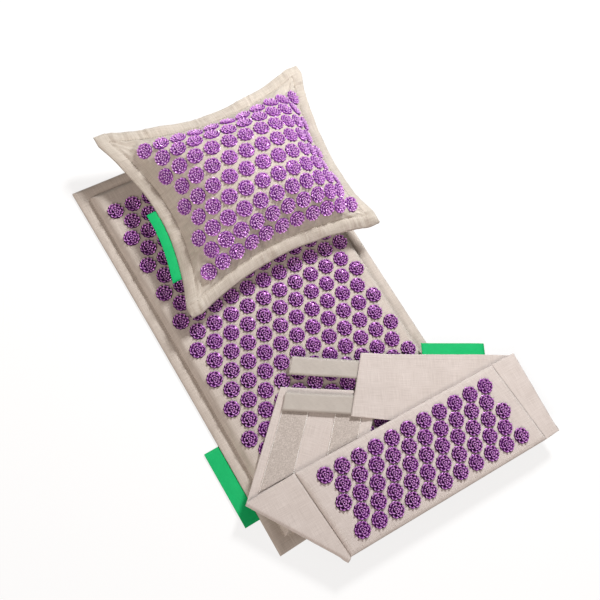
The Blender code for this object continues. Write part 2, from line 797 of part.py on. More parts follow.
def make_belt():
    """Front panel, pad, lining, folded tails, loop strips, straps and label of the belt."""
    place = place_empty(
        "belt_place",
        BELT_PLACE_shares[0] * MAT_HALF_X,
        BELT_PLACE_shares[1] * MAT_HALF_Y,
        REST_Z,
        BELT_YAW,
    )
    z = belt_levels()
    steps = (10, 4)

    def belt_ring(inset):
        return ring(BELT_HALF_X - inset, BELT_HALF_Y - inset, *steps)

    centres = staggered(BELT_COLUMNS, BELT_ROWS, BELT_ROW_STEP)
    band = BELT_SIDE_MARGIN - FOOT_RADIUS
    insets = [0, *(band * share for share in BELT_RING_shares)]
    rings = [belt_ring(inset) for inset in insets]
    edge_count = len(rings[0])
    flat_x, flat_y = BELT_HALF_X - BELT_SIDE_MARGIN / 2, BELT_HALF_Y - BELT_SIDE_MARGIN / 2
    inner = [*lattice(flat_x, flat_y, 4, 2), *ring(flat_x, flat_y, 4, 2)]
    make_cloth(
        "belt_front_panel",
        place,
        ["belt_linen", "violet_plastic"],
        cut_cloth(rings, holes=[foot(centre) for centre in centres]),
        cut_cloth(rings, inner),
        edge_count,
        lambda s, t: belt_cover(s, t, 0),
        lambda s, t: belt_cover(s, t, CLOTH),
        centres,
    )
    lining_cut = cut_cloth(rings, inner)
    make_cloth(
        "belt_lining",
        place,
        ["belt_linen"],
        lining_cut,
        lining_cut,
        edge_count,
        lambda s, t: belt_lining(s, t, CLOTH),
        lambda s, t: belt_lining(s, t, 0),
    )
    pad_cut = cut_cloth(rings[1:], inner)
    make_cloth(
        "belt_pad",
        place,
        ["pad_foam"],
        pad_cut,
        pad_cut,
        edge_count,
        lambda s, t: belt_cover(s, t, CLOTH + CLEAR),
        lambda s, t: belt_lining(s, t, CLOTH + CLEAR),
    )

    left_fold = [belt_point(shares) for shares in LEFT_FOLD_shares]
    left_end = [belt_point(shares) for shares in LEFT_END_shares]
    right_fold = [belt_point(shares) for shares in RIGHT_FOLD_shares]
    right_end = [belt_point(shares) for shares in RIGHT_END_shares]
    make_tail("belt_left_tail", -1, left_fold, left_end, (1.0,), 0, place)
    rise = z["end_middle"] - z["tail_middle"]
    make_tail("belt_right_tail", 1, right_fold, right_end, RIGHT_LIFT_shares, rise, place)
    make_loop_strips(left_fold, left_end, place)
    make_strap("belt_upper_strap", "belt_upper_hook_patch", STRAP_ROOT_shares[0], right_end, place)
    make_strap("belt_lower_strap", "belt_lower_hook_patch", STRAP_ROOT_shares[1], right_end, place)

    edge = (right_end[0] - right_fold[0]).normalized()
    outward = Vector((edge.y, -edge.x))
    corners = [right_fold[0].lerp(right_end[0], share) + outward * CLEAR for share in BELT_LABEL_shares]
    flap = outward * BELT_LABEL_WIDTH
    outline = [corners[0], corners[1], corners[1] + flap, corners[0] + flap]
    low = z["tail_middle"] - LABEL_THICKNESS / 2
    make_slab("belt_label", "green_label", outline, low, low + LABEL_THICKNESS, place)


def clear_scene():
    for obj in list(bpy.data.objects):
        bpy.data.objects.remove(obj)


clear_scene()
make_mat()
make_pillow()
make_belt()
print("acupressure mat set:", sum(obj.type == "MESH" for obj in bpy.data.objects), "meshes")
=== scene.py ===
import math

import bpy
import numpy as np
from mathutils import Euler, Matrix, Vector, noise


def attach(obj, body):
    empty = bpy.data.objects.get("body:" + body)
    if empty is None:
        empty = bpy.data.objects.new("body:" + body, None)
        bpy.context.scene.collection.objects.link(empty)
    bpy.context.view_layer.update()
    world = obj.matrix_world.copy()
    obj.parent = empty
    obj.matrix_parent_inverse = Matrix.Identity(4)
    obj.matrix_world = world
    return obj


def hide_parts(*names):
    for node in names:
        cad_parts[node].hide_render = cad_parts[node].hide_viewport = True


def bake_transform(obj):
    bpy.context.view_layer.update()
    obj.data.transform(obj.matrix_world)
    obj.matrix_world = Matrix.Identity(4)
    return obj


# Acupressure mat set: linen mat, husk pillow and waist belt, all with moulded violet rosettes.
# Metres, +Z up, +Y along the mat to its head end. Sizes repeat those of the CAD part.

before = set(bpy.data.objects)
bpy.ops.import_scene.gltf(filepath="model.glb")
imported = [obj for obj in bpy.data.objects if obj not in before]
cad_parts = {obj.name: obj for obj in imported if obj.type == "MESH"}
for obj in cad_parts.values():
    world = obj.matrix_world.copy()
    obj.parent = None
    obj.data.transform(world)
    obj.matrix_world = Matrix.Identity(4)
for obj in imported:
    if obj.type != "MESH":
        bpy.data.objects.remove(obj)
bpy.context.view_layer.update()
print("frame loaded:", len(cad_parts), "nodes")

mm = 0.001
gap = 0.3 * mm  # left between pieces that lie on each other
cloth = 1.4 * mm  # one layer of linen with its seam allowance
drawnCloth = 1.2 * mm  # the thickness that most covers are drawn with
tapeThick = 0.8 * mm  # loop strips and hook patches
lineClear = 1.5 * mm  # no grid line runs closer than this to one that has to be met
noiseLow, noiseHigh = 0.3, 0.7  # most values of a noise texture lie between these


# Colours and nodes


def linear(hexColour):
    # sRGB hex to the linear values that shaders take
    parts = [int(hexColour[i : i + 2], 16) / 255 for i in (1, 3, 5)]
    return (*[c / 12.92 if c <= 0.04045 else ((c + 0.055) / 1.055) ** 2.4 for c in parts], 1)


def addNode(tree, kind, inputs=None, output=0, **settings):
    # one node with its settings, fixed inputs and links, handed on as one of its outputs
    node = tree.nodes.new(kind)
    for key, value in settings.items():
        setattr(node, key, value)
    for key, value in (inputs or {}).items():
        if isinstance(value, bpy.types.NodeSocket):
            tree.links.new(value, node.inputs[key])
        else:
            node.inputs[key].default_value = value
    return node.outputs[output]


def newMaterial(name, **shaderValues):
    material = bpy.data.materials.new(name)
    material.use_nodes = True
    tree = material.node_tree
    shader = tree.nodes["Principled BSDF"]
    for key, value in shaderValues.items():
        shader.inputs[key].default_value = value
    return material, tree, shader


def waveScale(spacing):
    # the Wave texture repeats every pi/10 at scale 1
    return math.pi / 10 / spacing


def stretchedNoise(tree, coords, along, across, detail=2.0):
    # noise drawn out along one direction, for threads, slubs and brushed fibres
    inputs = {0: coords, 1: (1 / along, 1 / across, 1)}
    scaled = addNode(tree, "ShaderNodeVectorMath", inputs, operation="MULTIPLY")
    return addNode(tree, "ShaderNodeTexNoise", {"Vector": scaled, "Scale": 1.0, "Detail": detail}, "Fac")


def sumOf(tree, *terms):
    # adds (socket, weight) pairs
    total = 0.0
    for socket, weight in terms:
        total = addNode(tree, "ShaderNodeMath", {0: socket, 1: weight, 2: total}, operation="MULTIPLY_ADD")
    return total


def toneColour(tree, tone, low, high, dark, light):
    # dark where the tone is low, light where it is high
    share = addNode(tree, "ShaderNodeMapRange", {0: tone, 1: low, 2: high})
    return addNode(tree, "ShaderNodeMix", {0: share, 6: dark, 7: light}, 2, data_type="RGBA")


def linkFinish(tree, shader, colour, height, strength, depth, roughness=None):
    # the colour, the fine relief and, where it isn't even, the roughness
    tree.links.new(colour, shader.inputs["Base Color"])
    normal = addNode(tree, "ShaderNodeBump", {"Height": height, "Strength": strength, "Distance": depth})
    tree.links.new(normal, shader.inputs["Normal"])
    if roughness is not None:
        tree.links.new(roughness, shader.inputs["Roughness"])


# Materials

linen = {
    "thread": 1.7 * mm,  # real threads are about 0.7 mm apart, drawn coarser so that they show
    "slubLong": 30 * mm,
    "slubThin": 1.0 * mm,
    "slubRange": (0.34, 0.66),
    "blotch": 70 * mm,
    "waver": 9 * mm,  # over this length a thread wavers once
    "waverBy": 1.2 * mm,
    "toneWeights": (0.50, 0.42, 0.05, 0.05),  # slubs, blotches, warp, weft
    "toneRange": (0.25, 0.80),
    "roughness": (0.96, 0.82),  # of thin and of thick threads
    "heightWeights": (0.30, 0.30, 1.4),  # warp, weft, slubs
    "bump": 0.6,
    "relief": 0.45 * mm,
}


def makeLinen(name, light, dark):
    # Plain woven undyed linen, washed: matt, with thick and thin threads and a soft uneven tone
    material, tree, shader = newMaterial(name, **{"IOR": 1.5, "Sheen Weight": 0.12, "Sheen Roughness": 0.5})
    flat = addNode(tree, "ShaderNodeUVMap", uv_map="cloth")
    inputs = {"Vector": flat, "Scale": 1 / linen["waver"], "Detail": 1.0}
    inputs = {0: addNode(tree, "ShaderNodeTexNoise", inputs, "Color"), 1: (linen["waverBy"],) * 3, 2: flat}
    wavering = addNode(tree, "ShaderNodeVectorMath", inputs, operation="MULTIPLY_ADD")
    inputs = {"Vector": wavering, "Scale": waveScale(linen["thread"]), "Distortion": 0.0}
    warp = addNode(tree, "ShaderNodeTexWave", inputs, "Fac", bands_direction="X")
    weft = addNode(tree, "ShaderNodeTexWave", inputs, "Fac", bands_direction="Y")
    warpSlub = stretchedNoise(tree, flat, linen["slubThin"], linen["slubLong"])
    weftSlub = stretchedNoise(tree, flat, linen["slubLong"], linen["slubThin"])
    inputs = {"Vector": flat, "Scale": 1 / linen["blotch"], "Detail": 3.0}
    blotch = addNode(tree, "ShaderNodeTexNoise", inputs, "Fac")
    slubs = sumOf(tree, (warpSlub, 0.5), (weftSlub, 0.5))
    low, high = linen["slubRange"]
    thick = addNode(tree, "ShaderNodeMapRange", {0: slubs, 1: low, 2: high})
    tone = sumOf(tree, *zip((thick, blotch, warp, weft), linen["toneWeights"]))
    colour = toneColour(tree, tone, *linen["toneRange"], linear(dark), linear(light))
    dull, worn = linen["roughness"]
    inputs = {0: slubs, 1: noiseLow, 2: noiseHigh, 3: dull, 4: worn}
    rough = addNode(tree, "ShaderNodeMapRange", inputs)
    height = sumOf(tree, *zip((warp, weft, slubs), linen["heightWeights"]))
    linkFinish(tree, shader, colour, height, linen["bump"], linen["relief"], rough)
    return material


moulding = {
    "grain": 1.6 * mm,
    "drift": 45 * mm,
    # shares of a petal's height over which the painted shade at its foot turns to the petal's colour, and
    # that to the painted highlight at its tip
    "paintedShadeRange": (0.22, 0.60),
    "paintedHighlightRange": (0.44, 0.74),
    "driftRange": (0.35, 0.65),
    "driftShare": 0.2,
    "roughness": (0.18, 0.32),
    "bump": 0.25,
    "relief": 0.05 * mm,
}


def makeVioletPlastic(name, paintedShadeColour, petalColour, paintedHighlightColour):
    # Polypropylene, injection moulded on the cloth: shiny, with painted shade darkening the gaps and petal
    # feet and a painted pink highlight on the tips
    shine = {"IOR": 1.49, "Specular Tint": linear("#EE9CFF"), "Specular IOR Level": 1.0}
    material, tree, shader = newMaterial(name, **shine)
    lift = addNode(tree, "ShaderNodeSeparateXYZ", {0: addNode(tree, "ShaderNodeUVMap", uv_map="cloth")}, 1)
    place = addNode(tree, "ShaderNodeTexCoord", output="Object")
    inputs = {"Vector": place, "Scale": 1 / moulding["grain"], "Detail": 2.0}
    grain = addNode(tree, "ShaderNodeTexNoise", inputs, "Fac")
    inputs = {"Vector": place, "Scale": 1 / moulding["drift"], "Detail": 1.0}
    drift = addNode(tree, "ShaderNodeTexNoise", inputs, "Fac")
    # painted shade: the colour goes dark towards the petals' feet and the disc between them
    body = toneColour(tree, lift, *moulding["paintedShadeRange"], linear(paintedShadeColour), linear(petalColour))
    # painted highlight: the colour goes pale pink towards the petals' tips
    tip = toneColour(tree, lift, *moulding["paintedHighlightRange"], body, linear(paintedHighlightColour))
    low, high = moulding["driftRange"]
    inputs = {0: drift, 1: low, 2: high, 3: 0.0, 4: moulding["driftShare"]}
    uneven = addNode(tree, "ShaderNodeMapRange", inputs)
    colour = toneColour(tree, uneven, 0.0, 1.0, tip, linear(petalColour))
    smoothest, roughest = moulding["roughness"]
    inputs = {0: grain, 1: noiseLow, 2: noiseHigh, 3: smoothest, 4: roughest}
    rough = addNode(tree, "ShaderNodeMapRange", inputs)
    linkFinish(tree, shader, colour, grain, moulding["bump"], moulding["relief"], rough)
    return material


narrowWeave = {
    "fibreThin": 0.9 * mm,
    "fibreLong": 7 * mm,
    "blotch": 24 * mm,
    "toneWeights": (0.3, 0.4, 0.4),  # ribs, fibres, blotches
    "toneRange": (0.3, 0.8),
    "heightWeights": (1.0, 0.5),  # ribs, fibres
    "bump": 0.5,
}


def makeRibbed(name, light, dark, rib, direction, relief, sheen=0.0, roughness=(0.55, 0.75), shine=0.5):
    # Woven narrow tape or ribbon: fine ribs across or along it, from the weft that turns at its edges
    values = {"IOR": 1.5, "Sheen Weight": sheen, "Sheen Roughness": 0.4, "Specular IOR Level": shine}
    material, tree, shader = newMaterial(name, **values)
    flat = addNode(tree, "ShaderNodeUVMap", uv_map="cloth")
    inputs = {"Vector": flat, "Scale": waveScale(rib), "Distortion": 0.6, "Detail Scale": 2.0}
    ribs = addNode(tree, "ShaderNodeTexWave", inputs, "Fac", bands_direction=direction)
    fibres = stretchedNoise(tree, flat, narrowWeave["fibreThin"], narrowWeave["fibreLong"])
    inputs = {"Vector": flat, "Scale": 1 / narrowWeave["blotch"]}
    blotch = addNode(tree, "ShaderNodeTexNoise", inputs, "Fac")
    tone = sumOf(tree, *zip((ribs, fibres, blotch), narrowWeave["toneWeights"]))
    colour = toneColour(tree, tone, *narrowWeave["toneRange"], linear(dark), linear(light))
    inputs = {0: fibres, 1: noiseLow, 2: noiseHigh, 3: roughness[1], 4: roughness[0]}
    rough = addNode(tree, "ShaderNodeMapRange", inputs)
    height = sumOf(tree, *zip((ribs, fibres), narrowWeave["heightWeights"]))
    linkFinish(tree, shader, colour, height, narrowWeave["bump"], relief, rough)
    return material


fleece = {
    "loop": 2.1 * mm,  # real loops are about 0.5 mm, drawn coarser so that they show
    "tangle": 3 * mm,
    "toneWeights": (0.6, 0.8),  # loops, tangle
    "toneRange": (0.35, 1.0),
    "bump": 0.55,
    "relief": 0.7 * mm,
}


def makeFleece():
    # Brushed nylon loop tape: a low tangled pile that looks grainy and catches little light
    values = {"IOR": 1.53, "Sheen Weight": 0.35, "Roughness": 0.95}
    material, tree, shader = newMaterial("nylon loop pile brushed", **values)
    flat = addNode(tree, "ShaderNodeUVMap", uv_map="cloth")
    loops = addNode(tree, "ShaderNodeTexVoronoi", {"Vector": flat, "Scale": 1 / fleece["loop"]}, "Distance")
    inputs = {"Vector": flat, "Scale": 1 / fleece["tangle"], "Detail": 5.0, "Distortion": 1.6}
    tangle = addNode(tree, "ShaderNodeTexNoise", inputs, "Fac")
    tone = sumOf(tree, *zip((loops, tangle), fleece["toneWeights"]))
    colour = toneColour(tree, tone, *fleece["toneRange"], linear("#A69C95"), linear("#D2C9C2"))
    linkFinish(tree, shader, colour, tone, fleece["bump"], fleece["relief"])
    return material


felt = {"strand": 7, "toneRange": (0.38, 0.62), "bump": 0.8}  # strand: its length in thicknesses


def makeFelt(name, light, dark, fibre, relief):
    # Needled or carded fibre: short strands at every angle, dull all over
    material, tree, shader = newMaterial(name, **{"IOR": 1.5, "Roughness": 0.95})
    place = addNode(tree, "ShaderNodeTexCoord", output="Object")
    strand = felt["strand"] * fibre
    first = stretchedNoise(tree, place, fibre, strand, 4.0)
    second = stretchedNoise(tree, place, strand, fibre, 4.0)
    tone = sumOf(tree, (first, 0.5), (second, 0.5))
    colour = toneColour(tree, tone, *felt["toneRange"], linear(dark), linear(light))
    linkFinish(tree, shader, colour, tone, felt["bump"], relief)
    return material


tumbling = {
    "scratchLong": 6 * mm,
    "scratchThin": 0.4 * mm,
    "roughness": (0.24, 0.42),
    "bump": 0.3,
    "relief": 0.05 * mm,
}


def makeNickel():
    # Die-cast zinc, nickel plated and tumbled: bright, with soft small scratches
    material, tree, shader = newMaterial("zinc nickel plated", **{"Metallic": 1.0})
    place = addNode(tree, "ShaderNodeTexCoord", output="Object")
    scratch = stretchedNoise(tree, place, tumbling["scratchLong"], tumbling["scratchThin"])
    colour = toneColour(tree, scratch, 0.0, 1.0, linear("#B4B3B0"), linear("#D2D0CC"))
    smoothest, roughest = tumbling["roughness"]
    inputs = {0: scratch, 1: noiseLow, 2: noiseHigh, 3: smoothest, 4: roughest}
    rough = addNode(tree, "ShaderNodeMapRange", inputs)
    linkFinish(tree, shader, colour, scratch, tumbling["bump"], tumbling["relief"], rough)
    return material


matLinen = makeLinen("linen greige woven mat", "#D8CFC6", "#B9AFA5")
pillowLinen = makeLinen("linen greige woven pillow", "#DAD2C7", "#B8AFA2")
beltLinen = makeLinen("linen pale woven belt", "#DFD6D1", "#C8BEB8")
# settings of narrow weaves: rib, direction and relief, then sheen, roughness and shine
thread = (0.8 * mm, "X", 0.1 * mm)
satin = (1.5 * mm, "Y", 0.12 * mm, 0.0, (0.5, 0.65), 0.2)
hooks = (1.8 * mm, "X", 0.6 * mm, 0.0, (0.4, 0.6))
sewingThread = makeRibbed("polyester sewing thread", "#F0EBE4", "#D8D0C6", *thread)
pillowThread = makeRibbed("polyester sewing thread greige", "#C6BCAE", "#A89E90", *thread)
whiteThread = makeRibbed("polyester sewing thread bleached", "#FFFDFA", "#F2ECE6", *thread)
# colours: painted shade in the gaps, the petals' own violet, painted highlight on the tips
violetPlastic = makeVioletPlastic("violet polypropylene moulded", "#120018", "#9A34B2", "#F8C6FC")
# the same violet plastic with its colours painted lighter, and paler painted shade in the gaps, to stand in
# for the brighter light on the pillow
paintedLighterViolet = makeVioletPlastic("violet polypropylene moulded pale", "#7C3C98", "#CC7EDC", "#F8D2FC")
greenSatin = makeRibbed("polyester satin ribbon green", "#16C876", "#0EAE64", *satin)
greyTape = makeRibbed("nylon hook-back tape woven", "#C6BFB7", "#B0A9A1", 2.0 * mm, "Y", 0.2 * mm, 0.1)
hookTape = makeRibbed("nylon hook tape moulded", "#B5AEA6", "#948D85", *hooks)
zipTape = makeRibbed("polyester zip tape woven", "#CFC6BC", "#B3AAA0", 1.4 * mm, "Y", 0.2 * mm)
loopPile = makeFleece()
fibreFelt = makeFelt("coconut fibre needled", "#8D6A43", "#4E3620", 1.2 * mm, 0.8 * mm)
cottonBag = makeFelt("cotton bag woven", "#E2DCCE", "#C9C1B0", 0.9 * mm, 0.3 * mm)
wadding = makeFelt("polyester wadding carded", "#EFECE4", "#D9D4C8", 2.0 * mm, 0.6 * mm)
nickel = makeNickel()
print("materials made:", len(bpy.data.materials))


# Mesh tools


def newPiece(name, points, faces, material, flat=None, sharpDegrees=None):
    # one object, with its unrolled cloth coordinates kept in metres as a UV map
    mesh = bpy.data.meshes.new(name)
    mesh.from_pydata([tuple(p) for p in points], [], [tuple(f) for f in faces])
    if flat is not None:
        flat = np.asarray(flat, np.float32)
        corners = np.empty(len(mesh.loops), np.int32)
        mesh.loops.foreach_get("vertex_index", corners)
        layer = mesh.uv_layers.new(name="cloth")
        layer.data.foreach_set("uv", flat[corners].ravel())
    mesh.shade_smooth()
    if sharpDegrees:
        mesh.set_sharp_from_angle(angle=math.radians(sharpDegrees))
    mesh.materials.append(material)
    obj = bpy.data.objects.new(name, mesh)
    bpy.context.scene.collection.objects.link(obj)
    return obj


def gridFaces(columns, rows):
    # quads of a grid of points laid out row by row
    faces = []
    for j in range(rows - 1):
        for i in range(columns - 1):
            a = j * columns + i
            faces.append((a, a + 1, a + columns + 1, a + columns))
    return faces


def thicken(obj, thickness, offset):
    # offset -1 adds the thickness below the drawn face, 1 above it and 0 on both sides
    solid = obj.modifiers.new("thickness", "SOLIDIFY")
    solid.thickness = thickness
    solid.offset = offset
    return obj


def fit(obj, body, node):
    # moves with a body and stands in for a node of the CAD part
    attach(obj, body)
    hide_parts(node)
    return obj


def gridPiece(name, lines, place, material, offset=-1.0):
    # a cover over crossing grid lines
    sLines, tLines = lines
    flat = [(s, t) for t in tLines for s in sLines]
    points = [place(s, t) for s, t in flat]
    obj = newPiece(name, points, gridFaces(len(sLines), len(tLines)), material, flat)
    return thicken(obj, drawnCloth, offset)


def edgeLines(half, insets, step):
    # grid lines across a width: close together at both edges, at the given millimetres, even between
    inner = half - insets[-1] * mm
    count = max(2, round(2 * inner / step))
    middle = [-inner + 2 * inner * k / count for k in range(1, count)]
    low = [-half + inset * mm for inset in insets]
    return low + middle + [-value for value in reversed(low)]


def crossLines(halfX, halfY, insets, step):
    return edgeLines(halfX, insets, step), edgeLines(halfY, insets, step)


def ripple(x, y, wavelength, seed=0.0):
    # smooth noise from -1 to 1, the same each run
    return noise.noise(Vector((x / wavelength, y / wavelength, seed)))


def arcShare(distance, reach):
    along = min(max(distance / reach, 0.0), 1.0)
    return math.sqrt(1 - (1 - along) ** 2)


def placedBy(x, y, z, degrees):
    # moves points from a product's own frame to the set's
    turn = math.radians(degrees)
    c, s = math.cos(turn), math.sin(turn)

    def move(p):
        return Vector((x + c * p[0] - s * p[1], y + s * p[0] + c * p[1], z + p[2]))

    return move


def surfaceNormal(place, s, t):
    step = 1.0 * mm
    across = place(s + step, t) - place(s - step, t)
    along = place(s, t + step) - place(s, t - step)
    return across.cross(along).normalized()


# Rosettes

rosette = {
    "pitch": 33 * mm,
    "discRadius": 14.6 * mm,
    "discThick": 1.0 * mm,
    "scallops": 12,
    "notch": 0.92,  # share of the radius that is left between two scallops
    "rings": (
        # petals in the ring, radius at its foot, outward lean, height, half width, thickness
        (12, 13.6 * mm, 1.4 * mm, 4.9 * mm, 2.7 * mm, 2.6 * mm),
        (8, 9.3 * mm, 1.1 * mm, 5.4 * mm, 2.7 * mm, 2.4 * mm),
        (5, 5.0 * mm, 0.6 * mm, 5.9 * mm, 2.2 * mm, 2.1 * mm),
    ),
    "cup": 0.42,  # how far a petal's sides bend inward, as a share of its half width
    "belly": (0.52, 0.42),  # shares of the height and the lean where a petal is widest
    "footWidth": 0.82,  # of that width
    "innerWidth": 0.92,  # of the outer face's width
    "tipInward": 0.4,  # share of the thickness by which the tip stands further in
    "rim": ((1.0, 0.55), (0.93, 1.0)),  # shares of the disc's radius and thickness along its rounded rim
    "lengths": 0.06,  # share by which some petals are shorter
    "twist": 0.40,  # radians that the petals stand askew, left and right in turn
    "stagger": 0.08,  # share by which some petals of a ring stand further in
    "sink": 0.3 * mm,  # how far the disc goes into the cloth
    "budRadius": 1.1 * mm,
    "budHeight": 5.6 * mm,
    "budShape": ((0.55, 0.93), (1.0, 0.6), (1.25, 0.0)),  # shares of its radius and height
    "pressReach": 11 * mm,  # the disc's level is measured this far from its middle
    "pressEdge": 3.4 * mm,  # outside the disc, the cloth is free again over this width
}
rowStep = rosette["pitch"] * math.sqrt(3) / 2


def pressFlat(place, centres):
    # the moulded discs hold the cloth flat under them, so that it bends only between them
    reach = rosette["pressReach"]
    spots, frames = np.array(centres), []
    for s, t in centres:
        east, west = place(s + reach, t), place(s - reach, t)
        north, south = place(s, t + reach), place(s, t - reach)
        middle = (east + west + north + south) / 8 + place(s, t) / 2
        frames.append((middle, (east - west) / (2 * reach), (north - south) / (2 * reach)))

    def pressed(s, t):
        point = place(s, t)
        distance = np.hypot(spots[:, 0] - s, spots[:, 1] - t)
        nearest = int(distance.argmin())
        if distance[nearest] > 2 * reach:
            return point
        middle, along, across = frames[nearest]
        level = middle + along * (s - centres[nearest][0]) + across * (t - centres[nearest][1])
        away = (level - middle).length - rosette["discRadius"]
        return level.lerp(point, smooth(away / rosette["pressEdge"]))

    return pressed


def staggered(columns, rows, step):
    # every second row has one rosette less and sits half a pitch over
    centres = []
    for row in range(rows):
        count = columns - row % 2
        y = (row - (rows - 1) / 2) * step
        centres += [((i - (count - 1) / 2) * rosette["pitch"], y) for i in range(count)]
    return centres


def petal(turn, foot, lean, height, half, thick, twist):
    # an upright cupped petal with a pointed tip, as a closed solid of 13 points
    points = []
    shape = ((0.0, rosette["footWidth"], 0.0), (rosette["belly"][0], 1.0, rosette["belly"][1]))
    for inward in (0.0, thick):
        wide = half * (rosette["innerWidth"] if inward else 1.0)
        for level, width, out in shape:
            for u in (-1, 0, 1):
                radius = foot + lean * out - inward - rosette["cup"] * half * abs(u)
                points.append((radius, u * wide * width, height * level))
    points.append((foot + lean - thick * rosette["tipInward"], 0.0, height))
    c, s = math.cos(twist), math.sin(twist)
    points = [(foot + c * (r - foot) - s * w, s * (r - foot) + c * w, z) for r, w, z in points]
    c, s = math.cos(turn), math.sin(turn)
    turned = [(c * r - s * w, s * r + c * w, z) for r, w, z in points]
    tip = 12
    outer = [(0, 1, 4, 3), (1, 2, 5, 4), (3, 4, tip), (4, 5, tip)]
    inner = [(7, 6, 9, 10), (8, 7, 10, 11), (10, 9, tip), (11, 10, tip)]
    sides = [(6, 0, 3, 9), (9, 3, tip), (2, 8, 11, 5), (5, 11, tip), (1, 0, 6, 7), (2, 1, 7, 8)]
    return turned, outer + inner + sides


def rosetteShape():
    # points, faces and each point's share of the full height
    points, faces = [], []

    def add(newPoints, newFaces):
        first = len(points)
        points.extend(newPoints)
        faces.extend(tuple(first + i for i in face) for face in newFaces)

    r = rosette
    sides = 2 * r["scallops"]
    rim = []
    for share, z in ((1.0, -r["sink"]), *((share, level * r["discThick"]) for share, level in r["rim"])):
        for k in range(sides):
            turn = math.tau * k / sides
            radius = r["discRadius"] * share * (1.0 if k % 2 == 0 else r["notch"])
            rim.append((radius * math.cos(turn), radius * math.sin(turn), z))
    rim += [(0, 0, -r["sink"]), (0, 0, r["discThick"])]
    discFaces = []
    for k in range(sides):
        n = (k + 1) % sides
        discFaces += [(k, n, sides + n, sides + k), (sides + k, sides + n, 2 * sides + n, 2 * sides + k)]
        discFaces += [(n, k, 3 * sides), (2 * sides + k, 2 * sides + n, 3 * sides + 1)]
    add(rim, discFaces)
    for number, (count, foot, lean, height, half, thick) in enumerate(r["rings"]):
        for k in range(count):
            # no two petals of a mould stand quite alike
            odd = math.sin(7.3 * k + 2.1 * number)
            turn = math.tau * (k + 0.5 * (number % 2) + 0.10 * odd) / count
            askew = r["twist"] * (-1) ** k * (1 + 0.5 * odd)
            reach = foot * (1 - r["stagger"] * (0.5 + 0.5 * odd))
            lift = height * (1 - r["lengths"] * abs(odd))
            add(*petal(turn, reach, lean * (1 + 0.5 * odd), lift, half, thick, askew))
    bud = [(0, 0, r["budHeight"])]
    for share, z in r["budShape"]:
        for k in range(6):
            turn = math.tau * k / 6
            across = r["budRadius"] * share
            bud.append((across * math.cos(turn), across * math.sin(turn), r["budHeight"] * z))
    budFaces = [(0, 1 + k, 1 + (k + 1) % 6) for k in range(6)]
    for level in (0, 6):
        for k in range(6):
            a, b = 1 + level + k, 1 + level + (k + 1) % 6
            budFaces.append((a, a + 6, b + 6, b))
    budFaces.append(tuple(reversed(range(13, 19))))
    add(bud, budFaces)
    top = max(p[2] for p in points)
    return np.array(points), faces, np.array([p[2] / top for p in points])


def rosettePiece(name, centres, place, body, plastic):
    # all rosettes of one cover, welded through its cloth, as one piece
    shape, faces, lift = rosetteShape()
    points, allFaces, flat = [], [], []
    for number, (s, t) in enumerate(centres):
        middle = place(s, t)
        up = surfaceNormal(place, s, t)
        side = place(s + mm, t) - place(s - mm, t)
        side = (side - up * side.dot(up)).normalized()
        turned = np.array([side, up.cross(side), up])
        points.append(shape @ turned + np.array(middle))
        flat.append(np.column_stack([np.full(len(lift), number / len(centres)), lift]))
        first = number * len(shape)
        allFaces += [tuple(first + i for i in face) for face in faces]
    points, flat = np.concatenate(points), np.concatenate(flat)
    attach(newPiece(name, points, allFaces, plastic, flat, 42), body)
    print(name, "has", len(centres), "rosettes,", len(allFaces), "faces")


def stitchRow(name, path, body, slot, spacing, length=3.0 * mm, radius=0.42 * mm, yarn=sewingThread):
    # a row of sewn stitches: each is a short bead of thread that dips into the cloth at both ends
    points, faces, flat = [], [], []
    marks = [0.0]
    for a, b in zip(path, path[1:]):
        marks.append(marks[-1] + (b[0] - a[0]).length)
    count = int(marks[-1] / spacing)
    segment = 0
    for k in range(count):
        at = (k + 0.5) * marks[-1] / count
        while marks[segment + 1] < at:
            segment += 1
        (a, upA), (b, upB) = path[segment], path[segment + 1]
        share = (at - marks[segment]) / (marks[segment + 1] - marks[segment])
        middle, up = a.lerp(b, share), upA.lerp(upB, share).normalized()
        along = (b - a).normalized()
        side = up.cross(along).normalized()
        first = len(points)
        points.append(middle - along * length / 2 - up * radius)
        for end in (-0.28, 0.28):
            centre = middle + along * length * end + up * radius * 0.25
            points += [centre + way * radius for way in (side, up, -side, -up)]
        points.append(middle + along * length / 2 - up * radius)
        for i in range(4):
            n = (i + 1) % 4
            near, far = first + 1, first + 5
            faces += [(first, near + n, near + i), (near + i, near + n, far + n, far + i)]
            faces.append((first + 9, far + i, far + n))
        flat += [(at, 0.0)] * 10
    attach(newPiece(name, points, faces, yarn, flat), body)


# Shared sewing shapes


zipper = {
    "slot": 16 * mm,
    "tape": 12 * mm,
    "tapeEnd": 6 * mm,
    "tapeThick": 0.6 * mm,
    "coilWide": 2 * mm,
    "coilTop": 3.5 * mm,
    "chain": 1.8 * mm,
    "pitch": 1.6 * mm,
    "low": cloth + gap,
    "play": 1.2 * mm,  # between a tape and the side of the hollow over it
    "headroom": 0.5 * mm,  # between the coil and the top of that hollow
    "tapeChamfer": 0.05 * mm,
    "coilTaper": 0.15 * mm,
    "coilSink": 0.1 * mm,  # how far a turn of the coil goes into its tape
}


def smooth(x):
    x = min(max(x, 0.0), 1.0)
    return x * x * (3 - 2 * x)


def stripPiece(name, rows, material, thickness, offset=0.0, flat=None):
    # a cloth strip through rows of points, with its unrolled size as cloth coordinates
    count = len(rows[0])
    if flat is None:
        flat, along = [], 0.0
        for k, row in enumerate(rows):
            if k:
                along += (row[count // 2] - rows[k - 1][count // 2]).length
            across = 0.0
            for i, point in enumerate(row):
                across += (point - row[i - 1]).length if i else 0.0
                flat.append((across, along))
    points = [point for row in rows for point in row]
    obj = newPiece(name, points, gridFaces(count, len(rows)), material, flat)
    return thicken(obj, thickness, offset)


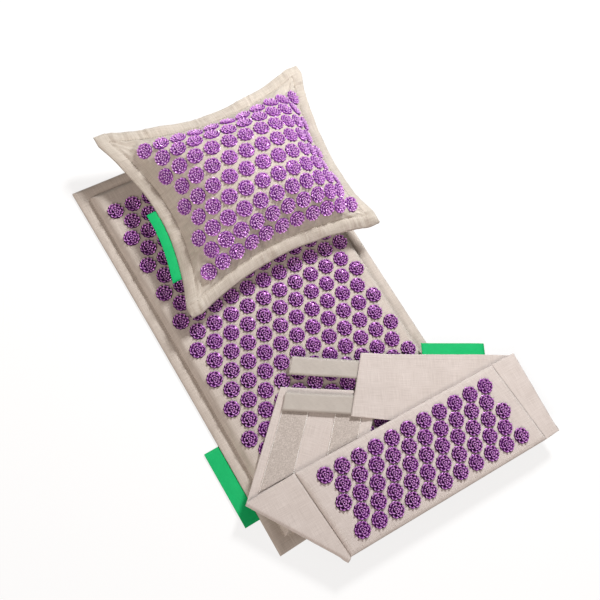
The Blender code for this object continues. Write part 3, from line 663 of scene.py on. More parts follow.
def closedPiece(name, lines, topPlace, bottomPlace, material):
    # a filling: an upper and a lower face over crossing grid lines, joined round the edge
    sLines, tLines = lines
    flat = [(s, t) for t in tLines for s in sLines]
    columns, rows = len(sLines), len(tLines)
    count = len(flat)
    points = [topPlace(s, t) for s, t in flat] + [bottomPlace(s, t) for s, t in flat]
    faces = gridFaces(columns, rows)
    faces += [tuple(count + i for i in reversed(face)) for face in faces]
    edge = [*range(columns)]
    edge += [j * columns + columns - 1 for j in range(1, rows)]
    edge += [(rows - 1) * columns + i for i in reversed(range(columns - 1))]
    edge += [j * columns for j in reversed(range(1, rows - 1))]
    for k, a in enumerate(edge):
        b = edge[(k + 1) % len(edge)]
        faces.append((b, a, count + a, count + b))
    return newPiece(name, points, faces, material, flat * 2, 50)


def aroundMarks(lines, marks):
    # grid lines with none left near the given marks, and one on each mark
    kept = [v for v in lines if all(abs(v - m) > lineClear for m in marks)]
    return sorted([*kept, *marks])


def slottedCover(name, lines, place, material, thickness, zipLength, zipY):
    # a lower cover with the opening that its zip closes
    sLines = aroundMarks(lines[0], (-zipLength / 2, zipLength / 2))
    tLines = aroundMarks(lines[1], (zipY - zipper["slot"] / 2, zipY, zipY + zipper["slot"] / 2))
    flat = [(s, t) for t in tLines for s in sLines]
    faces = []
    for face in gridFaces(len(sLines), len(tLines)):
        s = sum(flat[i][0] for i in face) / 4
        t = sum(flat[i][1] for i in face) / 4
        if abs(s) > zipLength / 2 or abs(t - zipY) > zipper["slot"] / 2:
            faces.append(face)
    used = sorted({i for face in faces for i in face})
    index = {old: new for new, old in enumerate(used)}
    flat = [flat[i] for i in used]
    faces = [tuple(index[i] for i in face) for face in faces]
    return thicken(newPiece(name, [place(*p) for p in flat], faces, material, flat), thickness, 1.0)


channelHalf = zipper["chain"] / 2 + zipper["tape"] + zipper["play"]


def channelFloor(s, t, floor, halfLength, zipY):
    # the underside of a filling, hollowed along its zip
    inside = abs(s) < halfLength + 2 * zipper["tapeEnd"] and abs(t - zipY) < channelHalf
    return max(floor, zipper["coilTop"] + zipper["headroom"] + 2 * gap) if inside else floor


def channelLines(lines, halfLength, zipY):
    # grid lines with a close pair at each side of that hollow
    reachX = halfLength + 2 * zipper["tapeEnd"]
    step = 0.1 * mm
    marksX = [side * (reachX + d) for side in (-1, 1) for d in (-step, step)]
    marksY = [zipY + side * (channelHalf + d) for side in (-1, 1) for d in (-step, step)]
    return aroundMarks(lines[0], marksX), aroundMarks(lines[1], marksY)


def rimPath(place, halfX, halfY, inset, step, rise=0.0):
    # a closed path for a row of stitches, that far inside the edge of a cover
    x, y = halfX - inset, halfY - inset
    corners = [(-x, -y), (x, -y), (x, y), (-x, y), (-x, -y)]
    path = []
    for (s0, t0), (s1, t1) in zip(corners, corners[1:]):
        count = max(1, round((abs(s1 - s0) + abs(t1 - t0)) / step))
        for k in range(count):
            s, t = s0 + (s1 - s0) * k / count, t0 + (t1 - t0) * k / count
            up = surfaceNormal(place, s, t)
            path.append((place(s, t) + up * rise, up))
    path.append(path[0])
    return path


ribbon = {
    "thick": 0.6 * mm,
    "across": (0, 0.03, 0.12, 0.3, 0.5, 0.7, 0.88, 0.97, 1),  # shares of the width with a row of points
}


def labelPiece(name, count, place, body, node, across=ribbon["across"]):
    # a folded satin ribbon sewn in at one edge, with its free edge a little wavy
    rows = [[place(k / count, share) for share in across] for k in range(count + 1)]
    obj = fit(stripPiece(name, rows, greenSatin, ribbon["thick"]), body, node)
    length = sum((a[0] - b[0]).length for a, b in zip(rows, rows[1:]))


def addBox(points, faces, flat, low, high, taper=0.0):
    # a box between two corners, drawn in at its top
    first = len(points)
    for level, inset in ((low[2], 0.0), (high[2], taper)):
        points += [
            Vector((low[0] + inset, low[1] + inset, level)),
            Vector((high[0] - inset, low[1] + inset, level)),
            Vector((high[0] - inset, high[1] - inset, level)),
            Vector((low[0] + inset, high[1] - inset, level)),
        ]
    flat += [(p.x, p.y) for p in points[first:]]
    sides = [(k, (k + 1) % 4, 4 + (k + 1) % 4, 4 + k) for k in range(4)]
    faces += [tuple(first + i for i in face) for face in [(3, 2, 1, 0), (4, 5, 6, 7), *sides]]


def zipTapes(prefix, halfLength, middle, move, body):
    # two woven tapes, each with the turns of its nylon coil along its inner edge
    reach = halfLength + zipper["tapeEnd"]
    low = zipper["low"]
    top = low + zipper["tapeThick"]
    for end, side in (("foot", -1), ("head", 1)):
        inner = middle + side * zipper["chain"] / 2
        outer = inner + side * zipper["tape"]
        points, faces, flat = [], [], []
        corner, opposite = (-reach, min(inner, outer), low), (reach, max(inner, outer), top)
        addBox(points, faces, flat, corner, opposite, zipper["tapeChamfer"])
        coil = inner + side * zipper["coilWide"]
        count = int(2 * halfLength / zipper["pitch"])
        for k in range(count):
            x = -halfLength + (k + 0.5 + 0.25 * side) * 2 * halfLength / count
            half = 0.3 * zipper["pitch"]
            corner = (x - half, min(inner, coil), top - zipper["coilSink"])
            opposite = (x + half, max(inner, coil), zipper["coilTop"])
            addBox(points, faces, flat, corner, opposite, zipper["coilTaper"])
        points = [move(p) for p in points]
        obj = newPiece(f"{prefix}_zip_chain_{end}", points, faces, zipTape, flat, 40)
        fit(obj, body, f"{prefix}_zip_tape_{end}")


def plateMetal(node):
    # the slider and the pull keep their own shapes
    slots = bpy.data.objects[node].data.materials
    slots.clear()
    slots.append(nickel)


# Mat

mat = {
    "columns": 11,
    "rows": 21,
    "border": 22 * mm,
    "sideInset": 24 * mm,
    "endInset": 47 * mm,
    "puff": 2.2 * mm,
    "borderWave": (0.5 * mm, 21 * mm),  # height and wavelength
    "shoulder": 14 * mm,
    "core": 17.5 * mm,
    "coreInset": 26.5 * mm,
    "crown": 2 * mm,
    "drawIn": 2 * mm,
    "pucker": (0.4 * mm, 8 * mm, 6 * mm, 2 * mm),  # height, wavelength, reach, flat at the seam
    "unevenness": (0.4 * mm, 16 * mm, 20 * mm),  # height, wavelength, full this far from the border
    "stitchInset": 1.2 * mm,  # outside the border's seam
    "stitch": 4.6 * mm,
    "label": (-0.815, -0.435),  # shares of the half length where the label starts and ends
    "labelWidth": 27 * mm,
    "labelLift": 1.1 * mm,
    "zipInset": 75 * mm,
    "zipLength": 280 * mm,
    # grid lines: millimetres in from the edge, and the even step between them
    "topGrid": (
        (0, 0.5, 1.5, 3, 5.5, 8.5, 11.5, 14.5, 17, 19, 20.6, 21.5, 22, 22.5)
        + (23.2, 24.2, 25.5, 27.2, 29.4, 32, 35, 39),
        5.5 * mm,
    ),
    "underGrid": ((0, 0.6, 2), 12 * mm),
    "coreGrid": ((0, 0.8, 2, 4, 7, 11), 9 * mm),
}
tipHeight = 6 * mm  # of the rosettes over their cloth
matHalfX = (mat["columns"] - 1) * rosette["pitch"] / 2 + mat["sideInset"] + mat["border"]
matHalfY = (mat["rows"] - 1) * rowStep / 2 + mat["endInset"] + mat["border"]
matRim = 2 * cloth + gap
matTop = cloth + gap + mat["core"] + gap + cloth
restZ = matTop + mat["crown"] + tipHeight + gap  # the pillow and belt lie on the rosettes' tips


def matPlan(s, t):
    u, v = s / matHalfX, t / matHalfY
    return s - mat["drawIn"] * u * (1 - v * v), t - mat["drawIn"] * v * (1 - u * u)


def matTopPlace(s, t, drop=0.0):
    # soft sewn border, a stitched valley, then the core's rounded shoulder
    x, y = matPlan(s, t)
    edge = min(matHalfX - abs(s), matHalfY - abs(t))
    crown = mat["crown"] * (1 - (s / matHalfX) ** 2) * (1 - (t / matHalfY) ** 2)
    z = matRim + (matTop - matRim + crown) * arcShare(edge - mat["border"], mat["shoulder"])
    if 0 < edge < mat["border"]:
        height, wavelength = mat["borderWave"]
        z += mat["puff"] * math.sin(math.pi * (edge / mat["border"]) ** 0.75)
        z += height * (ripple(s, t, wavelength, 3.0) + 0.6) * math.sin(math.pi * edge / mat["border"])
    height, wavelength, reach, seamWidth = mat["pucker"]
    away = abs(edge - mat["border"])
    z += height * (ripple(s, t, wavelength, 7.0) + 0.35) * math.exp(-away / reach) * min(1, away / seamWidth)
    height, wavelength, reach = mat["unevenness"]
    z += height * (ripple(s, t, wavelength, 1.0) - 0.3) * arcShare(edge - mat["border"], reach)
    return Vector((x, y, z - drop))


def matUnderPlace(s, t):
    return Vector((*matPlan(s, t), 0))


def makeMatCovers():
    lines = crossLines(matHalfX, matHalfY, *mat["topGrid"])
    top = fit(gridPiece("mat_top_cloth", lines, matTopPlace, matLinen), "mat", "mat_top_cover")

    zipY = mat["zipInset"] - matHalfY
    halfZip = mat["zipLength"] / 2
    lines = crossLines(matHalfX, matHalfY, *mat["underGrid"])
    name, zipLength = "mat_under_cloth", mat["zipLength"]
    under = slottedCover(name, lines, matUnderPlace, matLinen, cloth, zipLength, zipY)
    fit(under, "mat", "mat_bottom_cover")

    lines = crossLines(matHalfX - mat["coreInset"], matHalfY - mat["coreInset"], *mat["coreGrid"])
    core = closedPiece(
        "mat_core_pad",
        channelLines(lines, halfZip, zipY),
        lambda s, t: matTopPlace(s, t, cloth + gap),
        lambda s, t: Vector((*matPlan(s, t), channelFloor(s, t, cloth + gap, halfZip, zipY))),
        fibreFelt,
    )
    fit(core, "mat", "mat_core")
    zipTapes("mat", *matPlan(halfZip, zipY), Vector, "mat")
    plateMetal("mat_zip_slider")
    plateMetal("mat_zip_pull")


def makeMatTrim():
    centres = staggered(mat["columns"], mat["rows"], rowStep)
    rosettePiece("mat_rosettes", centres, matTopPlace, "mat", violetPlastic)
    border = rimPath(matTopPlace, matHalfX, matHalfY, mat["border"] - mat["stitchInset"], 12 * mm)
    stitchRow("mat_border_stitches", border, "mat", "mat_linen", mat["stitch"])
    low, high = (share * matHalfY for share in mat["label"])

    def ribbonPlace(along, share):
        x, y = matPlan(-matHalfX, low + (high - low) * along)
        lift = mat["labelLift"] * smooth(share * 1.6) * (0.55 + 0.45 * math.sin(5.2 * along + 0.7))
        return Vector((x - gap - share * mat["labelWidth"], y, cloth + gap / 2 + lift))

    labelPiece("mat_label_ribbon", 26, ribbonPlace, "mat", "mat_side_label")


makeMatCovers()
makeMatTrim()
print("mat made")


# Pillow

pillow = {
    "columns": 11,
    "rows": 9,
    "marginX": 28 * mm,
    "marginY": 43 * mm,
    "fieldShift": (8.6 * mm, -7.4 * mm),  # the rosettes lie a little off the cover's middle
    "fieldStretch": (1.02, 1.06),  # the full bag stretches its cover
    "flange": 20 * mm,
    "rise": 66 * mm,  # the dome over the seam
    "drop": 37 * mm,  # the seam over what the pillow lies on
    "droop": 6 * mm,  # the two corners at the foot end hang
    "perk": 4 * mm,  # the two corners at the head end stand up and out
    "sideDraw": 34 * mm,  # the filling draws the sides in at their middles, and the ends
    "endDraw": 26 * mm,
    "skew": 4.4 * mm,
    "taper": 5 * mm,
    # how much more cloth lies near the edges than in the middle, for the upper and the lower face
    "topBend": (1.14, 1.09),
    "underBend": (1.25, 1.2),
    "seamBend": (0.10, 0.41, 0.41),  # the same along the head seam, the foot seam and both sides
    "lean": 11 * mm,  # the husks push the upper cover's middle to the right
    "sideBulge": 9 * mm,  # the right side is drawn in that much less
    "seamShares": (0.925, 0.968),  # of the flat cover's half sizes, where the corners of the seam lie
    "sag": 8 * mm,  # the flange hangs down to its edge on the foot side
    # gathers across the seam: height, fine and coarse spacing, reach from the flange's middle
    "gathers": (3.0 * mm, 4.6 * mm, 15 * mm, 11 * mm),
    "gatherPatch": 55 * mm,  # some stretches of the seam are gathered more than others
    "cornerFolds": (1.7 * mm, 12 * mm, 38 * mm),  # height, full at, fading over
    "flangeWave": (6 * mm, 58 * mm),  # height and wavelength, as in the next one
    "flangeRipple": (1.2 * mm, 24 * mm),
    "seeds": (40 * mm, 70 * mm, 30 * mm, 90 * mm),  # keep the folds of facing sides unlike
    "flangePuff": (2.4 * mm, 0.9 * mm),  # of the upper and the lower cloth
    "seamRidge": (1.2 * mm, 8 * mm),  # height and half width
    "domeShape": (0.86, 0.8, 1.25),  # exponents above and below, and how soon the lower face is flat
    "stitch": 4.4 * mm,
    "stitchOut": 1.0 * mm,  # from the seam into the flange
    "bagInset": 12 * mm,
    "zipLength": 140 * mm,
    "label": (-0.69, 0.10),
    "labelWidth": 17 * mm,
    "labelBend": (1.8 * mm, 0.8 * mm),  # its free edge hangs and waves
    "labelAcross": (0, 0.04, 0.15, 0.35, 0.55, 0.75, 0.9, 0.97, 1),
    "place": (0.050007, 0.219259, restZ, -1),  # metres and degrees
    # the cloth simulation: grid, frames, quality, mass, pressure, stretch and cap on the swelling
    "trialGrid": (64, 52),
    "trialFrames": 20,
    "quality": 5,
    "mass": 0.3,
    "pressure": 4.0,
    "shrink": -0.02,
    "cap": 5 * mm,
    # grid lines: millimetres in from the flange's edge, and the even steps of both covers
    "grid": (0, 0.8, 2.5, 5, 8, 11, 14, 16.5, 18.5, 20, 21.5, 23.5, 26, 29, 32.5),
    "topStep": 2.3 * mm,
    "underStep": 6 * mm,
    "bagGrid": ((0, 1, 3, 6, 10, 15), 7 * mm),
}
pillowHalfX = (pillow["columns"] - 1) * rosette["pitch"] / 2 + pillow["marginX"]
pillowHalfY = (pillow["rows"] - 1) * rowStep / 2 + pillow["marginY"]
pillowMove = placedBy(*pillow["place"])
pillowPuff = {}


def pillowShape(s, t, bend=pillow["underBend"], lean=0.0):
    # plan place, seam height and the shares of the way from the middle to the seam
    u, v = (min(max(value / half, -1.0), 1.0) for value, half in ((s, pillowHalfX), (t, pillowHalfY)))
    headSeam, footSeam, sideSeam = pillow["seamBend"]
    bendX = bend[0] + ((headSeam if v > 0 else footSeam) - bend[0]) * v * v
    bendY = bend[1] + (sideSeam - bend[1]) * u * u
    u, v = math.sin(bendX * u) / math.sin(bendX), math.sin(bendY * v) / math.sin(bendY)
    seamX = pillowHalfX * pillow["seamShares"][0] - pillow["sideDraw"] * (1 - v * v)
    seamY = pillowHalfY * pillow["seamShares"][1] - pillow["endDraw"] * (1 - u * u)
    x = u * seamX + math.copysign(max(abs(s) - pillowHalfX, 0), s) + pillow["skew"] * v * (1 + u)
    x += lean * (1 - u * u) * (1 - v * v) + pillow["sideBulge"] * max(u, 0.0) ** 4 * (1 - v * v)
    y = v * seamY + math.copysign(max(abs(t) - pillowHalfY, 0), t) - pillow["taper"] * u * v
    corner = u * u * v * v
    if v > 0:
        return x, y + pillow["perk"] * corner, pillow["drop"] + pillow["perk"] * corner, abs(u), v
    return x, y, pillow["drop"] - pillow["droop"] * corner, abs(u), abs(v)


def pillowFolds(s, t):
    # gathers across the seam, folds that fan out of each corner, and the flange's slow waves
    inX, inY = pillowHalfX - abs(s), pillowHalfY - abs(t)
    edge = min(inX, inY)
    over = min(max(-edge / pillow["flange"], 0.0), 1.0)
    along, side = (t, 1.0) if inX < inY else (s, 2.0)
    across = math.copysign(1.0, s if inX < inY else t)
    seeds = [across * seed for seed in pillow["seeds"]]
    full, fine, coarse, reach = pillow["gathers"]
    gathers = ripple(along + seeds[0], edge * 0.12, fine, side)
    gathers += 0.8 * ripple(along + seeds[1], edge * 0.3, coarse, side + 2)
    drawn = 0.25 + 0.75 * smooth(0.5 + 1.6 * ripple(along, seeds[2], pillow["gatherPatch"], side + 7))
    height = full * drawn * gathers * math.exp(-abs(edge + reach) / reach)
    full, start, fading = pillow["cornerFolds"]
    away = math.hypot(max(inX, 0.0), max(inY, 0.0))
    turn = math.atan2(max(inY, 0.0) + 2 * mm, max(inX, 0.0) + 2 * mm)
    seed = (1.0 if s > 0 else 2.0) + (4.0 if t > 0 else 8.0)
    fan = math.sin(turn * 9 + seed) + 0.6 * math.sin(turn * 17 + 2 * seed)
    height += full * fan * smooth(away / start) * math.exp(-away / fading)
    full, wavelength = pillow["flangeWave"]
    height += full * ripple(along, seeds[3], wavelength, side + 5) * smooth(over)
    full, wavelength = pillow["flangeRipple"]
    height += full * ripple(s, t, wavelength, 9.0) * smooth(over * 1.5)
    height -= pillow["sag"] * over**1.3 * smooth(0.5 - t / pillowHalfY)
    return height, over, edge


def puffAt(side, s, t):
    # the simulated swelling, read between the points of its grid
    if side not in pillowPuff:
        return Vector((0, 0, 0))
    sLines, tLines, field = pillowPuff[side]
    if not (sLines[0] < s < sLines[-1] and tLines[0] < t < tLines[-1]):
        return Vector((0, 0, 0))
    i = int(np.searchsorted(sLines, s)) - 1
    j = int(np.searchsorted(tLines, t)) - 1
    a = (s - sLines[i]) / (sLines[i + 1] - sLines[i])
    b = (t - tLines[j]) / (tLines[j + 1] - tLines[j])
    near = field[j, i] * (1 - a) + field[j, i + 1] * a
    far = field[j + 1, i] * (1 - a) + field[j + 1, i + 1] * a
    return Vector(near * (1 - b) + far * b)


def pillowTopPlace(s, t, plain=False):
    # the upper face: a plump dome over the seam, with the cloth's folds
    x, y, seam, u, v = pillowShape(s, t, pillow["topBend"], pillow["lean"])
    dome = ((1 - u**3) * (1 - v**3)) ** pillow["domeShape"][0]
    z = seam + gap / 2 + cloth + pillow["rise"] * dome
    if plain:
        return Vector((x, y, z))
    height, over, edge = pillowFolds(s, t)
    ridge, width = pillow["seamRidge"]
    z += height + pillow["flangePuff"][0] * math.sin(math.pi * over) ** 0.8
    z += ridge * math.exp(-((edge / width) ** 2))
    return pillowMove(Vector((x, y, z)) + puffAt("top", s, t))


def pillowBottomPlace(s, t, plain=False):
    # the lower face: flat where it rests, and rounded up to the seam
    x, y, seam, u, v = pillowShape(s, t)
    exponent, steep = pillow["domeShape"][1:]
    dome = min(1.0, steep * ((1 - u**3) * (1 - v**3)) ** exponent)
    z = (seam - gap / 2 - cloth) * (1 - dome)
    if plain:
        return Vector((x, y, z))
    height, over = pillowFolds(s, t)[:2]
    z += (height - pillow["flangePuff"][1] * math.sin(math.pi * over)) * (1 - dome)
    puff = puffAt("bottom", s, t) * (1 - dome)
    return pillowMove(Vector((x, y, max(z + puff.z, 0.0))) + Vector((puff.x, puff.y, 0)))


def simulatePillow():
    # Cloth under the husks' pressure: its swelling is kept as a field over the flat cloth
    columns, rows = (count + 1 for count in pillow["trialGrid"])
    sLines = [-pillowHalfX + 2 * pillowHalfX * k / (columns - 1) for k in range(columns)]
    tLines = [-pillowHalfY + 2 * pillowHalfY * k / (rows - 1) for k in range(rows)]
    flat = [(s, t) for t in tLines for s in sLines]
    start = [pillowTopPlace(s, t, True) for s, t in flat]
    under = [pillowBottomPlace(s, t, True) for s, t in flat]
    index, points = {}, list(start)
    for k, (i, j) in enumerate((i, j) for j in range(rows) for i in range(columns)):
        if 0 < i < columns - 1 and 0 < j < rows - 1:
            index[k] = len(points)
            points.append(under[k])
        else:
            index[k] = k
    faces = gridFaces(columns, rows)
    faces += [tuple(index[i] for i in reversed(face)) for face in faces]
    trial = newPiece("pillow_trial", points, faces, pillowLinen)
    seam = trial.vertex_groups.new(name="seam")
    seam.add([k for k in range(columns * rows) if index[k] == k], 1.0, "REPLACE")
    modifier = trial.modifiers.new("cloth", "CLOTH")
    settings = modifier.settings
    settings.quality = pillow["quality"]
    settings.mass = pillow["mass"]
    settings.use_pressure = True
    settings.uniform_pressure_force = pillow["pressure"]
    settings.shrink_min = pillow["shrink"]
    settings.vertex_group_mass = "seam"
    settings.effector_weights.gravity = 0.0
    scene = bpy.context.scene
    for frameNumber in range(pillow["trialFrames"]):
        scene.frame_set(frameNumber + 1)
    done = trial.evaluated_get(bpy.context.evaluated_depsgraph_get()).data
    after = np.empty(len(points) * 3)
    done.vertices.foreach_get("co", after)
    moved = after.reshape(-1, 3) - np.array([tuple(p) for p in points])
    length = np.linalg.norm(moved, axis=1, keepdims=True)
    moved *= np.minimum(1.0, pillow["cap"] / np.maximum(length, 1e-9))
    scene.frame_set(1)
    bpy.data.objects.remove(trial)
    order = np.array([index[k] for k in range(columns * rows)])
    pillowPuff["top"] = (sLines, tLines, moved[: columns * rows].reshape(rows, columns, 3))
    pillowPuff["bottom"] = (sLines, tLines, moved[order].reshape(rows, columns, 3))
    print("pillow simulated: it moved by up to", round(float(length.max()) * 1000, 1), "mm before the cap")


def makePillowCovers():
    outerX, outerY = pillowHalfX + pillow["flange"], pillowHalfY + pillow["flange"]
    lines = crossLines(outerX, outerY, pillow["grid"], pillow["topStep"])
    top = gridPiece("pillow_top_cloth", lines, pillowSkin, pillowLinen)
    fit(top, "pillow", "pillow_top_cover")
    lines = crossLines(outerX, outerY, pillow["grid"], pillow["underStep"])
    place, zipLength = pillowBottomPlace, pillow["zipLength"]
    under = slottedCover(
        "pillow_under_cloth", lines, place, pillowLinen, drawnCloth, zipLength, 0.0
    )
    fit(under, "pillow", "pillow_bottom_cover")


def makePillowInside():
    halfZip = pillow["zipLength"] / 2
    depth = cloth + drawnCloth

    def bagBottom(s, t):
        p = pillowBottomPlace(s, t) + surfaceNormal(pillowBottomPlace, s, t) * depth
        p.z = max(p.z, pillow["place"][2] + channelFloor(s, t, depth, halfZip, 0.0))
        return p

    lines = crossLines(pillowHalfX - pillow["bagInset"], pillowHalfY - pillow["bagInset"], *pillow["bagGrid"])
    bag = closedPiece(
        "pillow_husk_filling",
        channelLines(lines, halfZip, 0.0),
        lambda s, t: pillowSkin(s, t) - surfaceNormal(pillowSkin, s, t) * depth,
        bagBottom,
        cottonBag,
    )
    fit(bag, "pillow", "pillow_husk_bag")
    zipTapes("pillow", pillowShape(halfZip, 0)[0], 0.0, pillowMove, "pillow")
    plateMetal("pillow_zip_slider")
    plateMetal("pillow_zip_pull")


def makePillowTrim():
    # the pillow's rosettes take the violet plastic painted lighter for the brighter light on them
    rosettePiece("pillow_rosettes", pillowCentres, pillowSkin, "pillow", paintedLighterViolet)
    seam = rimPath(pillowSkin, pillowHalfX, pillowHalfY, -pillow["stitchOut"], 6 * mm)
    stitchRow("pillow_seam_stitches", seam, "pillow", "pillow_linen", pillow["stitch"], yarn=pillowThread)
    low, high = (share * pillowHalfY for share in pillow["label"])
    edgeX = -pillowHalfX - pillow["flange"]
    hang, wave = pillow["labelBend"]

    def ribbonPlace(along, share):
        t = low + (high - low) * along
        x, y, seamZ = pillowShape(edgeX, t)[:3]
        bend = -hang * share * share + wave * math.sin(4 * along) * share
        z = seamZ + pillowFolds(edgeX, t)[0] + bend
        return pillowMove((x - 2 * gap - share * pillow["labelWidth"], y, z))

    body, node = "pillow", "pillow_side_label"
    labelPiece("pillow_label_ribbon", 22, ribbonPlace, body, node, pillow["labelAcross"])


simulatePillow()
pillowCentres = staggered(pillow["columns"], pillow["rows"], rowStep)
(shiftX, shiftY), (stretchX, stretchY) = pillow["fieldShift"], pillow["fieldStretch"]
pillowCentres = [(s * stretchX + shiftX, t * stretchY + shiftY) for s, t in pillowCentres]
pillowSkin = pressFlat(pillowTopPlace, pillowCentres)
makePillowCovers()
makePillowInside()
makePillowTrim()
print("pillow made")


# Belt

belt = {
    "columns": 11,
    "rows": 5,
    "rowShare": 0.90,  # of the other covers' step between two rows
    "endMargin": 38 * mm,
    "sideMargin": 26.6 * mm,
    "skew": 0.10,
    "shoulder": 10 * mm,
    "crown": 1 * mm,
    "unevenness": (0.35 * mm, 19 * mm, 20 * mm),  # height, wavelength, full this far from the edge
    "pucker": (0.5 * mm, 7 * mm, 5 * mm, 3 * mm),  # height, wavelength, seam's inset, reach
    "place": (0.07596, -0.341306, restZ, -2),  # metres and degrees
    "butt": 0.5 * mm,
    "seam": 0.12 * mm,
    # grid lines: millimetres in from the edge, and the even steps between them
    "grid": (0, 0.4, 1.2, 2.4, 4, 5.6, 7.2, 8.6, 10, 12),
    "frontStep": 3.6 * mm,
    "liningStep": 12 * mm,
    "padInset": 5 * mm,
    "padGrid": ((0, 1, 2.5, 5, 8), 9 * mm),
    "stitchInset": 6.5 * mm,
    "panelStitch": (4.2 * mm, 2.8 * mm, 0.34 * mm),  # spacing, length, half the thread's thickness
    "loopStitch": (3.2 * mm, 4.2 * mm, 0.9 * mm),  # a close zigzag, drawn as thick stitches
    # slow and quick waves of the layers outside the panel: height and wavelength, and where they start
    "slowWave": (1.6 * mm, 70 * mm),
    "quickWave": (0.5 * mm, 18 * mm),
    "waveStart": (2 * mm, 22 * mm),  # this far outside the panel, and full after so much more
    "hem": 9 * mm,
    "hemRise": (0.35 * mm, 0.8 * mm, 1.2 * mm),  # height, width of its outer and of its inner slope
    "hemStitch": (0.25 * mm, 2 * mm, 0.9 * mm),  # depth, distance inside the hem, half width
    "hemStart": (2 * mm, 14 * mm),  # below the panel the hem is pressed flat
    "tailWidth": 156 * mm,
    "tailThick": 2.2 * mm,
    "tailEdge": (0, 0.8, 2.5, 5, 7, 8, 9, 10.5, 13),  # millimetres in from a tail's side with a point
    "upperSteps": 15,
    "foldSteps": 10,
    "lowerStep": 5 * mm,
    "endShares": (0.925, 0.94, 0.95, 0.96, 0.975, 0.99),  # more rows of points at a tail's end
    "creases": ((0.9 * mm, 34 * mm, 31.0), (0.4 * mm, 11 * mm, 32.0)),  # height, wavelength, seed
    "seamRise": 0.45 * mm,  # the tail is level with the panel's rim at their seam
    "foldRadius": 4 * mm,
    "foldWrinkle": (0.6 * mm, 9 * mm),  # height and wavelength
    "foldRoll": (1.8 * mm, 0.90, 0.08),  # bulge near a fold's end: height, share where it starts, its run
    "strapThick": 1.4 * mm,
    "strapBend": 16 * mm,  # a length along a strap from its root; the strap is drawn lying flat
    "hookInset": 4 * mm,
    "hookRoot": 22 * mm,
    "pile": (0.18 * mm, 3.2 * mm),  # depth and spacing of the tangled loops
    "pileStep": 1.6 * mm,
    # shares of the panel's half length and half width
    "leftFold": ((-1.482, 0.944), (-0.975, -1.026)),
    "leftEnd": ((-0.800, 2.699), (-0.081, 1.647)),
    "leftLonger": 4 * mm,  # the left tail's end lies this much further out than in the CAD part
    "rightFold": ((1.199, 0.994), (1.172, -0.974)),
    "rightEnd": ((-0.034, 2.588), (-0.390, 1.478)),
    "liftFrom": 0.79,
    "loopBands": {"outer": (0.081, 0.338), "inner": (0.616, 0.878)},
    "loopEnd": 0.965,
    "strapRoots": {"upper": (0.12, 0.41), "lower": (0.68, 0.97)},
    "patchRoots": {"upper": (0.12, 0.41), "lower": (0.65, 0.97)},
    "strapReach": (-0.498, 0.750),
    "label": (0.174, 0.594),
    "labelWidth": 21 * mm,
    "labelLift": 0.9 * mm,
}
level = {
    "tail": 1.2 * mm,
    "lining": 2.7 * mm,
    "flap": 9.2 * mm,
    "cover": 15.1 * mm,
    "loopTop": 3.7 * mm,
    "hookTop": 5.0 * mm,
    "strapTop": 6.9 * mm,
    "end": 8.4 * mm,
}
beltRowStep = belt["rowShare"] * rowStep
beltHalfX = (belt["columns"] - 1) * rosette["pitch"] / 2 + belt["endMargin"]
beltHalfY = (belt["rows"] - 1) * beltRowStep / 2 + belt["sideMargin"]
beltMove = placedBy(*belt["place"])


def beltPoint(shares):
    return Vector((shares[0] * beltHalfX, shares[1] * beltHalfY, 0))


def beltTopPlace(s, t, drop=0.0):
    # a hemmed rim, then the pad's rounded shoulder
    edge = min(beltHalfX - abs(s), beltHalfY - abs(t))
    rim = level["flap"] + gap / 2 + cloth
    crown = belt["crown"] * (1 - (t / beltHalfY) ** 2)
    z = rim + (level["cover"] - rim + crown) * arcShare(edge, belt["shoulder"])
    height, wavelength, reach = belt["unevenness"]
    z += height * (ripple(s, t, wavelength, 11.0) - 0.2) * arcShare(edge, reach)
    height, wavelength, seam, reach = belt["pucker"]
    z += height * ripple(s, t, wavelength, 12.0) * math.exp(-abs(edge - seam) / reach)
    return beltMove((s - belt["skew"] * t, t, z - drop))


def beltUnderPlace(s, t, rise=0.0):
    rim = level["flap"] - gap / 2 - cloth
    lift = arcShare(min(beltHalfX - abs(s), beltHalfY - abs(t)), belt["shoulder"])
    return beltMove((s - belt["skew"] * t, t, rim + (level["lining"] - rim) * lift + rise))


def beltWave(x, y):
    # slow waves of the layers that lie outside the panel, all on top of each other
    s = x + belt["skew"] * y
    start, width = belt["waveStart"]
    free = smooth((max(abs(s) - beltHalfX, abs(y) - beltHalfY) - start) / width)
    height, wavelength = belt["slowWave"]
    slow = height * max(0.0, ripple(x, y, wavelength, 21.0) + 0.15)
    height, wavelength = belt["quickWave"]
    return free * (slow + height * abs(ripple(x, y, wavelength, 22.0)))


def hemHeight(distance):
    # a turned-in hem, a little thicker than the cloth, with its stitch line pressed in
    height, outer, inner = belt["hemRise"]
    depth, inset, width = belt["hemStitch"]
    raised = smooth(distance / outer) * (1 - smooth((distance - belt["hem"]) / inner))
    return height * raised - depth * math.exp(-(((distance - belt["hem"] + inset) / width) ** 2))


